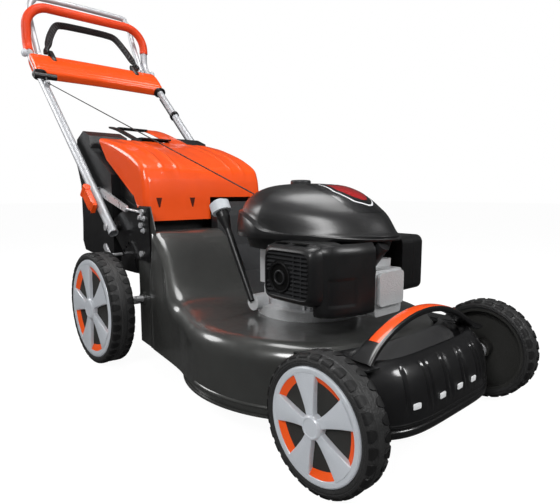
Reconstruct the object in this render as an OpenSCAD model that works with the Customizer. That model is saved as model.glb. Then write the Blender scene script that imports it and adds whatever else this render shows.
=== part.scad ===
// Walk-behind rotary lawn mower with a rear grass catcher, in millimetres.
// +X is forward, +Y is the operator's left, +Z is up, and the ground is z = 0.

/* [Wheels] */
// Distance between the front and rear axles
wheelbase = 753; // [745:1:765]
// Front tyre diameter
front_wheel_d = 205; // [196:1:214]
// Rear tyre diameter
rear_wheel_d = 280; // [264:1:290]
// Distance between the outer faces of the front wheels
front_track = 554; // [550:1:590]
// Distance between the outer faces of the rear wheels
rear_track = 600; // [598:1:640]
// Front tyre width
front_tyre_w = 48; // [40:1:50]
// Rear tyre width
rear_tyre_w = 57; // [48:1:58]
// Radial depth of rubber outside the rim
tyre_wall = 17; // [14:0.5:20]
// Depth of the tread grooves
tread_depth = 3; // [1:0.5:5]
// Number of spokes in each wheel cap
spoke_count = 5; // [4:1:7]
// Diameter of the wheel axles
axle_d = 16; // [12:0.5:18]

/* [Deck] */
// Diameter of the round blade housing
deck_d = 536; // [530:1:540]
// Height of the lower rim above the ground
deck_clear = 50; // [40:1:54]
// Height of the housing from rim to top
deck_h = 126; // [118:1:130]
// Thickness of the housing wall
sheet = 3; // [2:0.25:4]
// Radius of the round shoulder of the housing
shoulder_r = 34; // [20:1:45]
// Width of the rear of the housing
rear_w = 388; // [380:1:392]
// Height gained by the discharge ramp
ramp_rise = 158; // [145:1:162]
// Share of the chute's length over which the ramp climbs
ramp_share = 0.76; // [0.68:0.01:0.82]
// Height of the front bumper
bumper_h = 112; // [100:1:116]
// Thickness of plastic covers
cover_t = 3; // [2:0.25:3.5]

/* [Engine] */
// Distance from the front axle back to the crankshaft
crank_back = 278; // [273:1:283]
// Diameter of the crankshaft
crank_d = 25; // [20:0.5:27]
// Radius of the engine cover at the back
cover_r = 152; // [148:1:156]
// Height of the top of the engine cover
cover_top = 448; // [444:1:455]
// Diameter of the flywheel
flywheel_d = 184; // [160:1:190]
// Length of the cutting blade
blade_len = 508; // [480:1:516]
// Width of the cutting blade
blade_w = 52; // [44:1:60]
// Diameter of the drive pulley on the crankshaft
crank_pulley_d = 66; // [60:1:70]
// Diameter of the pulley on the gearbox
gearbox_pulley_d = 84; // [76:1:88]

/* [Handle] */
// Distance between the centres of the handle tubes
handle_w = 438; // [436:1:450]
// Diameter of the handle tube
tube_d = 25; // [22:0.5:26]
// Wall of the handle tube
tube_wall = 1.5; // [1:0.25:3]
// Slope of the handle legs
handle_angle = 42.5; // [40:0.5:45]
// Length of each leg from its pivot to its upper bend
leg_len = 876; // [860:1:890]
// Height of the grip bar above the upper bends
grip_rise = 146; // [140:1:152]
// Diameter of the sleeve on the grip bar
sleeve_d = 31; // [29:0.5:32]
// Diameter of the brake bail's tube
brake_d = 18; // [14:0.5:19]
// Diameter of the drive bail's rods
drive_d = 16; // [13:0.5:17]
// Distance from the pivots up the legs to the clamps
clamp_at = 140; // [134:1:150]
// Diameter of the starter rope
rope_d = 3; // [2:0.5:4]
// Diameter of the control cables
cable_d = 5; // [4:0.5:6]

/* [Catcher] */
// Width of the catcher at its widest
catcher_w = 396; // [388:1:396]
// Width of the rear flap
flap_w = 372; // [366:1:374]
// Thickness of the flap and catcher walls
shell_t = 3; // [2:0.25:3.5]
// Diameter of the flap's hinge pin
hinge_d = 8; // [6:0.5:9]

/* [Hidden] */
$fn = 64;

// Colours
paint_grey = "#3c4044";
plastic_black = "#1c1d1f";
plastic_grey = "#4a4c50";
orange = "#f0581c";
silver = "#c4c8cc";
rubber = "#242426";

// Clearances: running fits, faces that touch without rubbing, and wider gaps
run = 0.05;
gap = 0.4;
cut = 1;

// Frame: the origin is the middle of the whole machine, on the ground
axle_r = axle_d / 2;
crank_x = wheelbase - crank_back;
deck_r = deck_d / 2;
deck_top = deck_clear + deck_h;
rear_half = rear_w / 2;
rear_end = 60;
leg_dir = [-cos(handle_angle), 0, sin(handle_angle)];
pivot = [-46, 0, 339];
bend_point = pivot + leg_len * leg_dir;
bail_pivot = bend_point - 40 * leg_dir;
brake_bar = bend_point + [-66, 0, 199];
front_reach = wheelbase + front_wheel_d / 2;
rear_reach = brake_bar[0] - brake_d / 2;
origin_x = (front_reach + rear_reach) / 2;
front_axle = [wheelbase, 0, front_wheel_d / 2];
rear_axle_at = [0, 0, rear_wheel_d / 2];

// Height adjustment: the wheels hang on arms that turn about these points
front_pin = [wheelbase - 48, 0, front_wheel_d / 2 + 29.5];
rear_pin = [85, 0, rear_wheel_d / 2 + 25];
arm_t = 5;
front_arm_y = front_track / 2 - front_tyre_w - 10;
rear_arm_y = rear_track / 2 - rear_tyre_w - 8;

// Discharge ramp and chute
ramp_start = crank_x - 165;
ramp_len = ramp_share * (ramp_start - rear_end);
ramp_top = deck_top + ramp_rise;
chute_side = 5;
ramp_steps = 14;
function smooth(t) = t <= 0 ? 0 : t >= 1 ? 1 : t * t * (3 - 2 * t);
function ramp_z(x) = deck_top + ramp_rise * smooth((ramp_start - x) / ramp_len);

// Handle brackets bolt to cheeks that stand up from the rear of the deck
bracket_t = 4;
bracket_y = rear_half + gap / 2;
cheek_top = 396;
bracket_bolt_at = [[98, 382], [90, 349], [89, 278]];
bolt_r = 4;
bolt_head_r = 7.5;
head_t = 5;
hinge_at = [72, 0, 366];
hinge_r = hinge_d / 2;
tube_r = tube_d / 2;
tube_y = handle_w / 2;
stay_y = bracket_y + bracket_t + gap;
stay_t = tube_y - tube_r - gap - stay_y;

// Engine levels, from the deck up
base_t = 20;
block_base = deck_top + base_t;
cover_base = 342;
block_top = cover_base - 14;
base_r = 112;
head_x = crank_x + 175;
plug_seat = [head_x - 14, -24, block_base + 80];
plug_tip = [head_x + 20, -24, block_base + 122];
plug_r = 7;
oil_foot = [crank_x - 45, -122, deck_top + base_t + 6];
oil_mouth = [crank_x - 151, -122, 386];
tank_ring = cover_r - 31;
fuel_cap_r = 23;
tank_turn = 145;
fuel_at = [crank_x + tank_ring * cos(tank_turn), tank_ring * sin(tank_turn)];
pulley_z = 129;
gearbox_at = [75, 95];

// Starter rope: from its guide on the right leg to the back of the engine cover
function on_leg_point(s, y, n) = pivot + [0, y, 0] + s * leg_dir
    + n * [sin(handle_angle), 0, cos(handle_angle)];
console_s = [leg_len - 170, leg_len - 84];
guide_s = console_s[0] - 82;
guide_n = tube_r + 7;
guide_r = 9;
rope_top = on_leg_point(guide_s + 11, -tube_y, guide_n);
rope_end = [crank_x - 108, -40, 415];

// The brake bail's sides run just inside the sleeves, on studs that reach through them
stud_r = 4;
brake_y = tube_y - sleeve_d / 2 - brake_d / 2 - 3;
brake_stud_y = brake_y - 8;

// Put what is drawn about the rear axle into the shared frame
module placed() translate([-origin_x, 0, 0]) children();

// Extrude an outline drawn in x and z between two y values
module slab(y0, y1) translate([0, y1, 0]) rotate([90, 0, 0]) linear_extrude(y1 - y0) children();

// The same, as a plate of thickness t about one y value
module plate(y, t) slab(y - t / 2, y + t / 2) children();

// Stand children, drawn up z, on a line between two points
module along(p, q) {
    v = q - p;
    translate(p) rotate([0, acos(v[2] / norm(v)), atan2(v[1], v[0])]) children();
}

// A round rod between two points
module rod(p, q, r) along(p, q) cylinder(h = norm(q - p), r = r);

// A bent rod through points, with a slightly larger ball at each inner corner
ball = 1.03;
module bent_rod(points, r) {
    for (i = [0 : len(points) - 2]) rod(points[i], points[i + 1], r);
    for (i = [1 : 1 : len(points) - 2]) translate(points[i]) sphere(r * ball);
}

// A round bar along y, from the lower y to the higher, or with its ends in either order
module pin_y(at, y0, y1, r) translate([at[0], y1, at[2]]) rotate([90, 0, 0]) cylinder(h = y1 - y0, r = r);
module bar_y(at, a, b, r) pin_y(at, min(a, b), max(a, b), r);

// Where a straight run meets a bend, the straight is a hair proud and the bend runs a little way in
bite = 0.02;
bend_step = 0.2;
over = 0.5;

// Two discs joined by their outer tangents
module link_outline(p, r, q, s) {
    v = q - p;
    turn = atan2(v[1], v[0]);
    lean = acos((r - s) / norm(v));
    translate(p) circle(r);
    translate(q) circle(s);
    polygon([for (k = [[p, r, 1], [q, s, 1], [q, s, -1], [p, r, -1]])
        k[0] + (k[1] + bite) * [cos(turn + k[2] * lean), sin(turn + k[2] * lean)]]);
}

// A rectangle with round corners, drawn from its centre
module round_rect(w, h, r) {
    square([w - 2 * r, h], center = true);
    square([w, h - 2 * r], center = true);
    for (x = [-1, 1], y = [-1, 1]) translate([x * (w / 2 - r), y * (h / 2 - r)]) circle(r);
}

// Place children on the handle leg: x runs down the leg from the pivot, z points up off it
module on_leg() translate(pivot) rotate([0, handle_angle, 0]) children();

// Deck

module bowl_outline(r, h, s) {
    square([r - s, h]);
    square([r, h - s]);
    translate([r - s, h - s]) circle(s);
}

// The ramp's top, or with a drop its underside, lowered enough to keep the wall's thickness on the slope
slope_share = 1.6;
module ramp_outline(drop, past) {
    under = slope_share * drop;
    line = [for (i = [0 : ramp_steps]) let (x = ramp_start - i / ramp_steps * ramp_len)
        [x, ramp_z(x) - under]];
    polygon(concat(line, [[rear_end - past, ramp_top - under], [rear_end - past, deck_top - 2 * sheet],
        [ramp_start, deck_top - 2 * sheet]]));
}

waist = [crank_x - 145, rear_half + 32];
module rear_plan(inset, past) {
    side = [[crank_x, deck_r * 0.8], [waist[0], waist[1] - inset], [rear_end - past, rear_half - inset]];
    polygon(concat(side, [for (i = [len(side) - 1 : -1 : 0]) [side[i][0], -side[i][1]]]));
}

module deck_form(inset, past) {
    translate([crank_x, 0, deck_clear - past]) rotate_extrude()
        bowl_outline(deck_r - inset, deck_h - inset + past, shoulder_r - inset);
    translate([0, 0, deck_clear - past]) linear_extrude(deck_h - inset + past) rear_plan(inset, past);
    slab(inset - rear_half, chute_side - inset) ramp_outline(inset, past);
}

// Horns on the bowl that carry the pins of the front arms
horn_w = 14;
horn_h = 36;
horn_y = front_arm_y - 28;
horn_x = crank_x + sqrt(pow(deck_r, 2) - pow(horn_y + horn_w / 2, 2)) + 2;

module horn(side, grow) {
    size = [front_pin[0] + axle_r + 10 - horn_x, horn_w, horn_h];
    corner = [horn_x, side * horn_y - horn_w / 2, front_pin[2] - horn_h / 2];
    translate(corner - grow * [1, 1, 1]) cube(size + 2 * grow * [1, 1, 1]);
}

module cheek() polygon([[rear_end, deck_top - 10], [rear_end, cheek_top - 12], [rear_end + 12, cheek_top],
    [128, cheek_top], [150, 340], [150, deck_top - 10]]);

module deck_housing() color(paint_grey) placed() {
    floor_z = 186;
    floor_x = ramp_start - 95;
    floor_low = 80;
    flange = [6, 4];
    difference() {
        union() {
            difference() {
                deck_form(0, 0);
                deck_form(sheet, cut);
            }
            translate([crank_x, 0, deck_clear]) rotate_extrude() translate([deck_r - sheet, 0])
                square([sheet + flange[0], flange[1]]);
            for (side = [-1, 1]) {
                plate(side * (rear_half - sheet / 2), sheet) cheek();
                pin_y(rear_pin, side * (rear_half - 4) - 10, side * (rear_half - 4) + 10, axle_r + 9);
                horn(side, 0);
            }
            slab(-rear_half + sheet / 2, chute_side) polygon([[floor_x, floor_low],
                [floor_x, floor_low + sheet], [rear_end, floor_z], [rear_end, floor_z - sheet]]);
            slab(chute_side - sheet, chute_side) polygon([[floor_x, floor_low], [rear_end, floor_z - sheet],
                [ramp_start, deck_top - sheet]]);
        }
        translate([crank_x, 0, deck_top - 3 * sheet]) cylinder(h = 6 * sheet, r = 46);
        for (side = [-1, 1]) {
            pin_y(rear_pin, side * rear_half - 30, side * rear_half + 30, axle_r + run);
            pin_y(front_pin, side * front_arm_y - 60, side * front_arm_y + 60, axle_r + run);
            pin_y(hinge_at, side * rear_half - 20, side * rear_half + 20, hinge_r + run);
            for (p = bracket_bolt_at)
                pin_y([p[0], 0, p[1]], side * rear_half - 12, side * rear_half + 12, bolt_r + run);
        }
        for (turn = [45 : 90 : 315]) translate([crank_x, 0, deck_top - 5]) rotate(turn)
            translate([base_r - 14, 0, 0]) cylinder(h = 10, r = bolt_r + run);
    }
}

// Front bumper with the carry handle moulded on
bumper_base = deck_clear + 8;
bumper_top = bumper_base + bumper_h;
bumper_half = front_arm_y - 5;
arch_r = 272;
arch_top = bumper_top + 55;
arch_x = wheelbase - 3;
arch_w = 28;
arch_t = 11;
arch_half = asin(168 / arch_r);

// The nose of the bumper bows out in a flat curve between its sides
nose_out = 71;
nose_depth = 89;
nose_power = 4.5;
nose_steps = 20;
module bumper_plan(inset) {
    half = bumper_half - inset;
    nose = [for (i = [-nose_steps : nose_steps]) let (share = sin(90 * i / nose_steps))
        [wheelbase + nose_out - inset - nose_depth * pow(abs(share), nose_power), half * share]];
    polygon(concat([[wheelbase - 125, -half]], nose, [[wheelbase - 125, half]]));
}

module arch(r, w, t, half) translate([arch_x, 0, arch_top - arch_r]) rotate([90, 0, 90])
    rotate([0, 0, 90 - half]) rotate_extrude(angle = 2 * half) translate([r, -w / 2]) square([t, w]);

module front_bumper() color(plastic_black) placed() {
    slot_count = 4;
    slot = [16, 7, 34];
    slot_first = 35;
    slot_step = 24;
    bowl = [52, 290, 24];
    bowl_x = arch_x + 26;
    bowl_h = 22;
    difference() {
        union() {
            difference() {
                union() {
                    difference() {
                        translate([0, 0, bumper_base]) linear_extrude(bumper_h) bumper_plan(0);
                        translate([0, 0, bumper_base - cut]) linear_extrude(bumper_h - cover_t + cut)
                            bumper_plan(cover_t);
                    }
                    translate([bowl_x, 0, bumper_top - bowl_h - cover_t]) linear_extrude(bowl_h + cover_t)
                        round_rect(bowl[0] + 2 * cover_t, bowl[1] + 2 * cover_t, bowl[2] + cover_t);
                }
                translate([bowl_x, 0, bumper_top - bowl_h]) linear_extrude(bowl_h + cut)
                    round_rect(bowl[0], bowl[1], bowl[2]);
            }
            arch(arch_r - arch_t, arch_w, arch_t, arch_half);
        }
        translate([crank_x, 0, 0]) cylinder(h = bumper_top + 40, r = deck_r + gap);
        for (side = [-1, 1]) pin_y(front_pin, side * bumper_half - 12, side * bumper_half + 12, axle_r + 6);
        for (i = [0 : slot_count - 1], side = [-1, 1])
            translate([wheelbase + 62, side * (slot_first + i * slot_step) - slot[1] / 2, bumper_base + 42])
                cube(slot);
        for (side = [-1, 1]) horn(side, gap);
    }
}

module carry_handle_inlay() color(orange) placed() arch(arch_r, arch_w - 6, 3, arch_half - 9);

// Cover over the drive belt, behind the engine, with an upright panel beside the flap
module belt_cover() color(plastic_grey) placed() {
    low = deck_top + gap;
    left = 142;
    difference() {
        slab(chute_side + gap, left) polygon([[285, low], [262, low + 14], [185, low + 44],
            [134, low + 110], [120, 366], [112, 390], [100, 404], [92, 404], [92, low]]);
        slab(chute_side + gap + cover_t, left - cover_t) polygon([[278, low - cut], [260, low + 10],
            [183, low + 40], [131, low + 108], [117, 365], [109, 388], [99, 401], [95, 401],
            [95, low - cut]]);
    }
}

// Handle brackets, stays and their fasteners
notch_r = 150;
pivot_r = 5;
module bracket_outline() {
    polygon([[-72, 316], [-72, 358], [-30, 376], [60, 392], [126, 392], [132, 262], [-6, 262]]);
    translate([pivot[0], pivot[2]]) circle(26);
}

module handle_brackets() color(plastic_black) placed() for (side = [-1, 1]) difference() {
    union() {
        plate(side * (bracket_y + bracket_t / 2), bracket_t)
            difference() {
                union() {
                    bracket_outline();
                    if (side < 0) translate([rear_pin[0], rear_pin[2]]) intersection() {
                        circle(notch_r);
                        polygon([[-30, 60], [-160, 60], [-160, 160], [-60, 160]]);
                    }
                }
                if (side < 0) for (turn = [118 : 7 : 153]) translate([rear_pin[0], rear_pin[2]])
                    rotate(turn) translate([notch_r, 0]) circle(4.6);
            }
        bar_y(pivot, side * bracket_y, side * (stay_y + stay_t), 13);
    }
    for (p = bracket_bolt_at)
        pin_y([p[0], 0, p[1]], side * bracket_y - 10, side * bracket_y + 10, bolt_r + run);
    pin_y(hinge_at, side * bracket_y - 10, side * bracket_y + 10, hinge_r + run);
    pin_y(pivot, side * bracket_y - 20, side * bracket_y + 20, pivot_r + run);
}

module handle_stays() color(silver) placed() {
    knee = [14, 388];
    eye = [pivot[0] + clamp_at * leg_dir[0], pivot[2] + clamp_at * leg_dir[2]];
    groove_r = 2.5;
    wire_end = [bracket_bolt_at[0][0] - 8.4, bracket_bolt_at[0][1]];
    for (side = [-1, 1]) {
        mid_y = side * (stay_y + stay_t / 2);
        difference() {
            union() {
                plate(mid_y, stay_t) link_outline(knee, 8, eye, 11);
                rod([knee[0], mid_y, knee[1]], [wire_end[0], mid_y, wire_end[1]], 3);
            }
            plate(mid_y, 2 * stay_t) {
                translate(eye) rotate(90 - handle_angle) translate([0, -bolt_r - 1])
                    square([30, 2 * bolt_r + 2]);
                translate(eye) circle(bolt_r + 1);
            }
            plate(mid_y - side * stay_t / 2, 4) link_outline(knee, groove_r, (knee + eye) / 2, groove_r);
        }
    }
}

module bracket_bolts() color(silver) placed() for (side = [-1, 1]) {
    face = bracket_y + bracket_t;
    outer = tube_y + tube_r + gap;
    for (p = bracket_bolt_at) {
        bar_y([p[0], 0, p[1]], side * (rear_half - 6), side * face, bolt_r);
        translate([p[0], side * (face + head_t / 2), p[1]]) rotate([90, 0, 0])
            cylinder(h = head_t, r = bolt_head_r, center = true, $fn = 6);
    }
    bar_y(pivot, side * bracket_y, side * outer, pivot_r);
    bar_y(pivot, side * outer, side * (outer + 3), 9);
}

module flap_pin() color(silver) placed()
    pin_y(hinge_at, -bracket_y - bracket_t, bracket_y + bracket_t, hinge_r);

// Drive belt from the crankshaft pulley back to the gearbox
belt_h = 9;
belt_t = 5;
belt_steps = 24;
function arc_points(at, r, from, sweep) = [for (i = [0 : belt_steps])
    let (turn = from + sweep * i / belt_steps) at + r * [cos(turn), sin(turn)]];

module belt_outline(inset) {
    front = [crank_x, 0];
    span = gearbox_at - front;
    turn = atan2(span[1], span[0]);
    lean = acos((crank_pulley_d - gearbox_pulley_d) / 2 / norm(span));
    polygon(concat(arc_points(front, crank_pulley_d / 2 - inset, turn + lean, 360 - 2 * lean),
        arc_points(gearbox_at, gearbox_pulley_d / 2 - inset, turn - lean, 2 * lean)));
}

module drive_belt() color(rubber) placed() translate([0, 0, pulley_z - belt_h / 2])
    linear_extrude(belt_h) difference() {
        belt_outline(gap);
        belt_outline(gap + belt_t);
    }

module pulley(d, bore_r) difference() {
    groove = belt_t + 3 * gap;
    union() {
        for (z = [-8, 5]) translate([0, 0, z]) cylinder(h = 3, r = d / 2);
        translate([0, 0, -8]) cylinder(h = 16, r = d / 2 - groove);
    }
    translate([0, 0, -9]) cylinder(h = 18, r = bore_r);
}

// Engine

module engine_block() color(silver) placed() difference() {
    barrel = [95, 96, 110];
    fin = [5, barrel[1], barrel[2] - 8];
    fin_step = 16;
    union() {
        translate([crank_x, 0, deck_top]) cylinder(h = base_t, r = base_r);
        translate([crank_x, 0, block_base - cut]) cylinder(h = 24, r = base_r - 22);
        translate([crank_x - 78, -74, block_base]) cube([150, 148, block_top - block_base]);
        translate([crank_x + 70, -barrel[1] / 2 + 4, block_base + 14])
            cube([barrel[0], barrel[1] - 8, barrel[2] - 28]);
        for (i = [0 : 5]) translate([crank_x + 78 + i * fin_step, -fin[1] / 2, block_base + 4]) cube(fin);
        translate([head_x - 12, -fin[1] / 2, block_base + 4]) cube([12, fin[1], fin[2]]);
        rod(oil_foot + [0, 30, 0], oil_foot, 17);
    }
    translate([crank_x, 0, deck_top - cut]) cylinder(h = 300, r = crank_d / 2 + run);
    rod(oil_foot, on_oil(0.3), oil_r + gap);
    for (turn = [45 : 90 : 315]) translate([crank_x, 0, deck_top - cut]) rotate(turn)
        translate([base_r - 14, 0, 0]) cylinder(h = base_t + 40, r = bolt_r + run);
    for (turn = [45 : 90 : 315]) translate([crank_x, 0, block_base]) rotate(turn)
        translate([base_r - 14, 0, 0]) cylinder(h = 40, r = 11);
    rod(plug_seat, plug_tip, plug_r + gap);
}

module head_cover() color(silver) placed() difference() {
    translate([head_x + gap / 2, 0, block_base + 50]) rotate([90, 0, 90]) {
        linear_extrude(30) round_rect(82, 86, 8);
        translate([0, 8, 29]) linear_extrude(9) round_rect(74, 62, 8);
    }
    translate([head_x - cut, 0, block_base + 50]) rotate([90, 0, 90]) linear_extrude(26)
        round_rect(70, 72, 6);
    rod(plug_seat, plug_tip, 12);
}

// Exhaust on the right of the engine
guard_y = -178;
guard_x = [crank_x + 30, crank_x + 156];
guard_z = [232, cover_base - gap];
outlet = [crank_x + 93, 0, 280];
outlet_r = 24;
pipe_r = 13;

module muffler() color(silver) placed() difference() {
    union() {
        translate([guard_x[0] + 14, guard_y + 22, guard_z[0] + 14])
            cube([guard_x[1] - guard_x[0] - 26, -74 - gap - guard_y - 22, guard_z[1] - guard_z[0] - 24]);
        pin_y(outlet, guard_y + 6, guard_y + 40, pipe_r);
    }
    pin_y(outlet, guard_y - 10, guard_y + 60, pipe_r - 2);
}

module guard_plan(inset) polygon([[guard_x[0] + inset, -98], [guard_x[0] + inset, guard_y + 14 + inset / 2],
    [guard_x[0] + 14 + inset / 2, guard_y + inset], [guard_x[1], guard_y + inset], [guard_x[1], -98]]);

module muffler_guard() color(plastic_black) placed() difference() {
    slat = 5;
    translate([0, 0, guard_z[0]]) linear_extrude(guard_z[1] - guard_z[0]) guard_plan(0);
    translate([0, 0, guard_z[0] - cut]) linear_extrude(guard_z[1] - guard_z[0] - cover_t + cut) {
        guard_plan(cover_t);
        translate([guard_x[0] + cover_t, -99]) square([200, 10]);
    }
    pin_y(outlet, guard_y - cut, guard_y + 2 * cover_t, outlet_r);
    for (i = [0 : 6]) {
        beside = i < 4;
        translate([outlet[0] + (beside ? 28 : -50), guard_y - cut, guard_z[0] + 24 + i * 2 * slat])
            cube([beside ? 42 : 82, 2 * cover_t, slat]);
    }
}

module cowl_plan(inset) polygon([[guard_x[1] + gap, guard_y + inset],
    [guard_x[1] + 16 - inset / 2, guard_y + 6 + inset], [guard_x[1] + 40 - inset, guard_y + 34 + inset / 2],
    [guard_x[1] + 56 - inset, guard_y + 92], [guard_x[1] + 58 - inset, -52 - inset],
    [guard_x[1] + gap + inset, -52 - inset]]);

module engine_cowl() color(plastic_black) placed() difference() {
    translate([0, 0, guard_z[0] - 14]) linear_extrude(guard_z[1] - guard_z[0] + 14) cowl_plan(0);
    translate([0, 0, guard_z[0] - 20]) linear_extrude(guard_z[1] - guard_z[0] + 20 - cover_t) {
        cowl_plan(cover_t);
        translate([guard_x[1] - cut, -120]) square([40, 90]);
    }
    translate([head_x, -60, guard_z[0] - 20]) cube([60, 60, 74]);
}

// Domed top cover over the flywheel, fuel tank and starter
module cover_form(inset, drop) {
    stations = [[0, cover_r, cover_base, cover_base + 56],
        [0, cover_r - 26, cover_top - 22, cover_top - 18], [-2, cover_r - 60, cover_top - 6, cover_top],
        [88, 50, cover_top - 26, cover_top - 20],
        [122, 90, cover_base + 8, cover_base + 36], [176, 46, cover_base + 14, cover_base + 28]];
    hull() for (s = stations) translate([crank_x + s[0], 0, s[2] - drop])
        cylinder(h = s[3] - s[2] + drop - inset, r = s[1] - inset, $fn = 36);
}

module engine_cover() color(plastic_black) placed() difference() {
    cover_form(0, 0);
    cover_form(cover_t, 40);
    translate([fuel_at[0], fuel_at[1], cover_base]) cylinder(h = 200, r = fuel_cap_r + gap);
    rod(rope_end, rope_top, rope_d / 2 + 2.5);
}

module fuel_tank() color(plastic_black) placed() {
    difference() {
        union() {
            translate([crank_x, 0, cover_base - 6]) rotate([0, 0, 98]) rotate_extrude(angle = 92)
                translate([flywheel_d / 2 + 8, 0]) square([cover_r - cover_t - 16 - flywheel_d / 2, 62]);
            translate([fuel_at[0], fuel_at[1], cover_base + 50])
                cylinder(h = cover_top - cover_base - 50, r = 19);
            translate([fuel_at[0], fuel_at[1], cover_top - 7]) cylinder(h = 16, r = fuel_cap_r);
            translate([crank_x - 76, 72, block_top + gap / 2])
                cylinder(h = cover_base - 5 - block_top, r = 5);
        }
        translate([crank_x, 0, cover_base - 3]) rotate([0, 0, 100]) rotate_extrude(angle = 88)
            translate([flywheel_d / 2 + 11, 0]) square([cover_r - cover_t - 22 - flywheel_d / 2, 56]);
    }
}

// Air cleaner on the left of the cylinder
air_x = [crank_x + 88, crank_x + 172];
air_y = [92, 176];
air_z = [226, cover_base - 1];
module air_layer(y0, y1, grow) translate([0, y1, 0]) translate([(air_x[0] + air_x[1]) / 2, 0,
    (air_z[0] + air_z[1]) / 2]) rotate([90, 0, 0]) linear_extrude(y1 - y0)
    round_rect(air_x[1] - air_x[0] + grow, air_z[1] - air_z[0] + grow, 16 + grow / 2);

module air_cleaner_case() color(plastic_black) placed() difference() {
    union() {
        air_layer(air_y[0], air_y[0] + 40, 0);
        translate([crank_x + 96, 48 + gap, 250]) cube([44, air_y[0] - 48 + 2 - gap, 50]);
    }
    air_layer(air_y[0] + cover_t, air_y[0] + 60, -2 * cover_t);
    pin_y([crank_x + 118, 0, 275], 40, air_y[0] + 20, 12);
}

module air_cleaner_cover() color(plastic_grey) placed() difference() {
    union() {
        air_layer(air_y[0] + 40 + gap, air_y[1] - 12, 0);
        air_layer(air_y[1] - 13, air_y[1], -16);
    }
    air_layer(air_y[0], air_y[1] - 12 - cover_t, -2 * cover_t);
}

module air_filter() color(orange) placed()
    air_layer(air_y[0] + cover_t + gap, air_y[1] - 20, -2 * (cover_t + gap));

module spark_plug() color("white") placed() rod(plug_seat, plug_tip, plug_r);

module plug_cap() color(plastic_black) placed() {
    aim = unit(plug_tip - plug_seat);
    difference() {
        union() {
            rod(plug_seat + 34 * aim, plug_seat + 76 * aim, 12);
            rod(plug_seat + 64 * aim, plug_seat + 64 * aim + [-40, 4, -10], 8);
        }
        rod(plug_seat, plug_tip, plug_r + gap);
    }
}

// Oil filler on the right, behind the exhaust
oil_r = 7.5;
oil_wall = 2;
funnel_r = 14;
stopper_r = 9.5;
function on_oil(share) = oil_foot + share * (oil_mouth - oil_foot);

module oil_filler_tube() color(plastic_black) placed() along(oil_foot, oil_mouth) {
    top = norm(oil_mouth - oil_foot);
    bore = oil_r - oil_wall;
    seat = stopper_r + 2 * run;
    rotate_extrude() polygon([[bore, 4], [oil_r, 4], [oil_r, top - 42], [funnel_r, top - 14], [funnel_r, top],
        [seat, top], [seat, top - 16], [bore, top - 24]]);
}

module oil_cap() color("#d8dce0") placed() {
    aim = unit(oil_mouth - oil_foot);
    rod(oil_mouth + gap * aim, oil_mouth + 22 * aim, 22);
    along(oil_mouth + 21 * aim, oil_mouth + 27 * aim) cylinder(h = 6, r1 = 17, r2 = 14);
    rod(oil_mouth - 12 * aim, oil_mouth + 2 * aim, stopper_r);
    rod(oil_mouth - 150 * aim, oil_mouth - 10 * aim, 2);
}

module engine_bolts() color(silver) placed() for (turn = [45 : 90 : 315])
    translate([crank_x, 0, 0]) rotate(turn) translate([base_r - 14, 0, 0]) {
        translate([0, 0, deck_top - 14]) cylinder(h = base_t + 14, r = bolt_r);
        translate([0, 0, block_base]) cylinder(h = 8, r = bolt_head_r, $fn = 6);
        translate([0, 0, deck_top - sheet - 7]) cylinder(h = 6, r = bolt_head_r, $fn = 6);
    }

// What turns with the crankshaft
blade_z = deck_clear + 10;
blade_t = 4;
hub_r = 24;
module crankshaft() color(silver) placed() translate([crank_x, 0, 0]) {
    translate([0, 0, blade_z + blade_t + gap]) cylinder(h = cover_base + 66 - blade_z, r = crank_d / 2);
}

module flywheel() color(silver) placed() translate([crank_x, 0, cover_base + 8]) difference() {
    union() {
        cylinder(h = 12, r = flywheel_d / 2);
        cylinder(h = 34, r = 34);
        for (turn = [0 : 24 : 336]) rotate(turn) translate([42, -1.5, 11])
            cube([flywheel_d / 2 - 44, 3, 26]);
    }
    translate([0, 0, -cut]) cylinder(h = 50, r = crank_d / 2);
}

module blade_hub() color(plastic_grey) placed() translate([crank_x, 0, 0]) difference() {
    union() {
        translate([0, 0, pulley_z]) pulley(crank_pulley_d, 1);
        translate([0, 0, blade_z + blade_t]) cylinder(h = pulley_z - blade_z - blade_t, r = hub_r);
        translate([0, 0, blade_z + blade_t]) cylinder(h = 8, r = hub_r + 14);
    }
    translate([0, 0, blade_z]) cylinder(h = 200, r = crank_d / 2);
}

module blade() color(silver) placed() translate([crank_x, 0, blade_z]) difference() {
    intersection() {
        union() {
            translate([-blade_len / 2, -blade_w / 2, 0]) cube([blade_len, blade_w, blade_t]);
            for (turn = [0, 180]) rotate(turn) translate([blade_len / 2 - 110, blade_w / 2 - 14, blade_t])
                rotate([0, 90, 0]) linear_extrude(104) polygon([[0, 0], [0, 14], [-22, 14], [-22, 11]]);
        }
        translate([0, 0, -cut]) cylinder(h = 60, r = blade_len / 2);
    }
    translate([0, 0, -cut]) cylinder(h = 10, r = 6 + run);
}

module blade_bolt() color(silver) placed() translate([crank_x, 0, 0]) {
    translate([0, 0, blade_z - 8]) cylinder(h = 8, r = 14, $fn = 6);
    translate([0, 0, blade_z - 2]) cylinder(h = blade_t + 2, r = 6);
}

// Gearbox on the rear axle
input_r = 8;
module gearbox() color(plastic_grey) placed() difference() {
    box = [60, 56];
    axle_z = rear_axle_at[2];
    union() {
        translate([0, gearbox_at[1], 0]) plate(0, 68) translate([0, axle_z])
            round_rect(box[0], box[1], 14);
        translate([0, gearbox_at[1] - 22, axle_z - 46]) cube([gearbox_at[0], 44, 26]);
        translate([gearbox_at[0], gearbox_at[1], axle_z - 46]) cylinder(h = 26, r = 22);
        translate([gearbox_at[0], gearbox_at[1], axle_z - 21])
            cylinder(h = pulley_z - axle_z + 33, r = input_r);
    }
    pin_y(rear_axle_at, -200, 200, axle_r);
}

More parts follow.
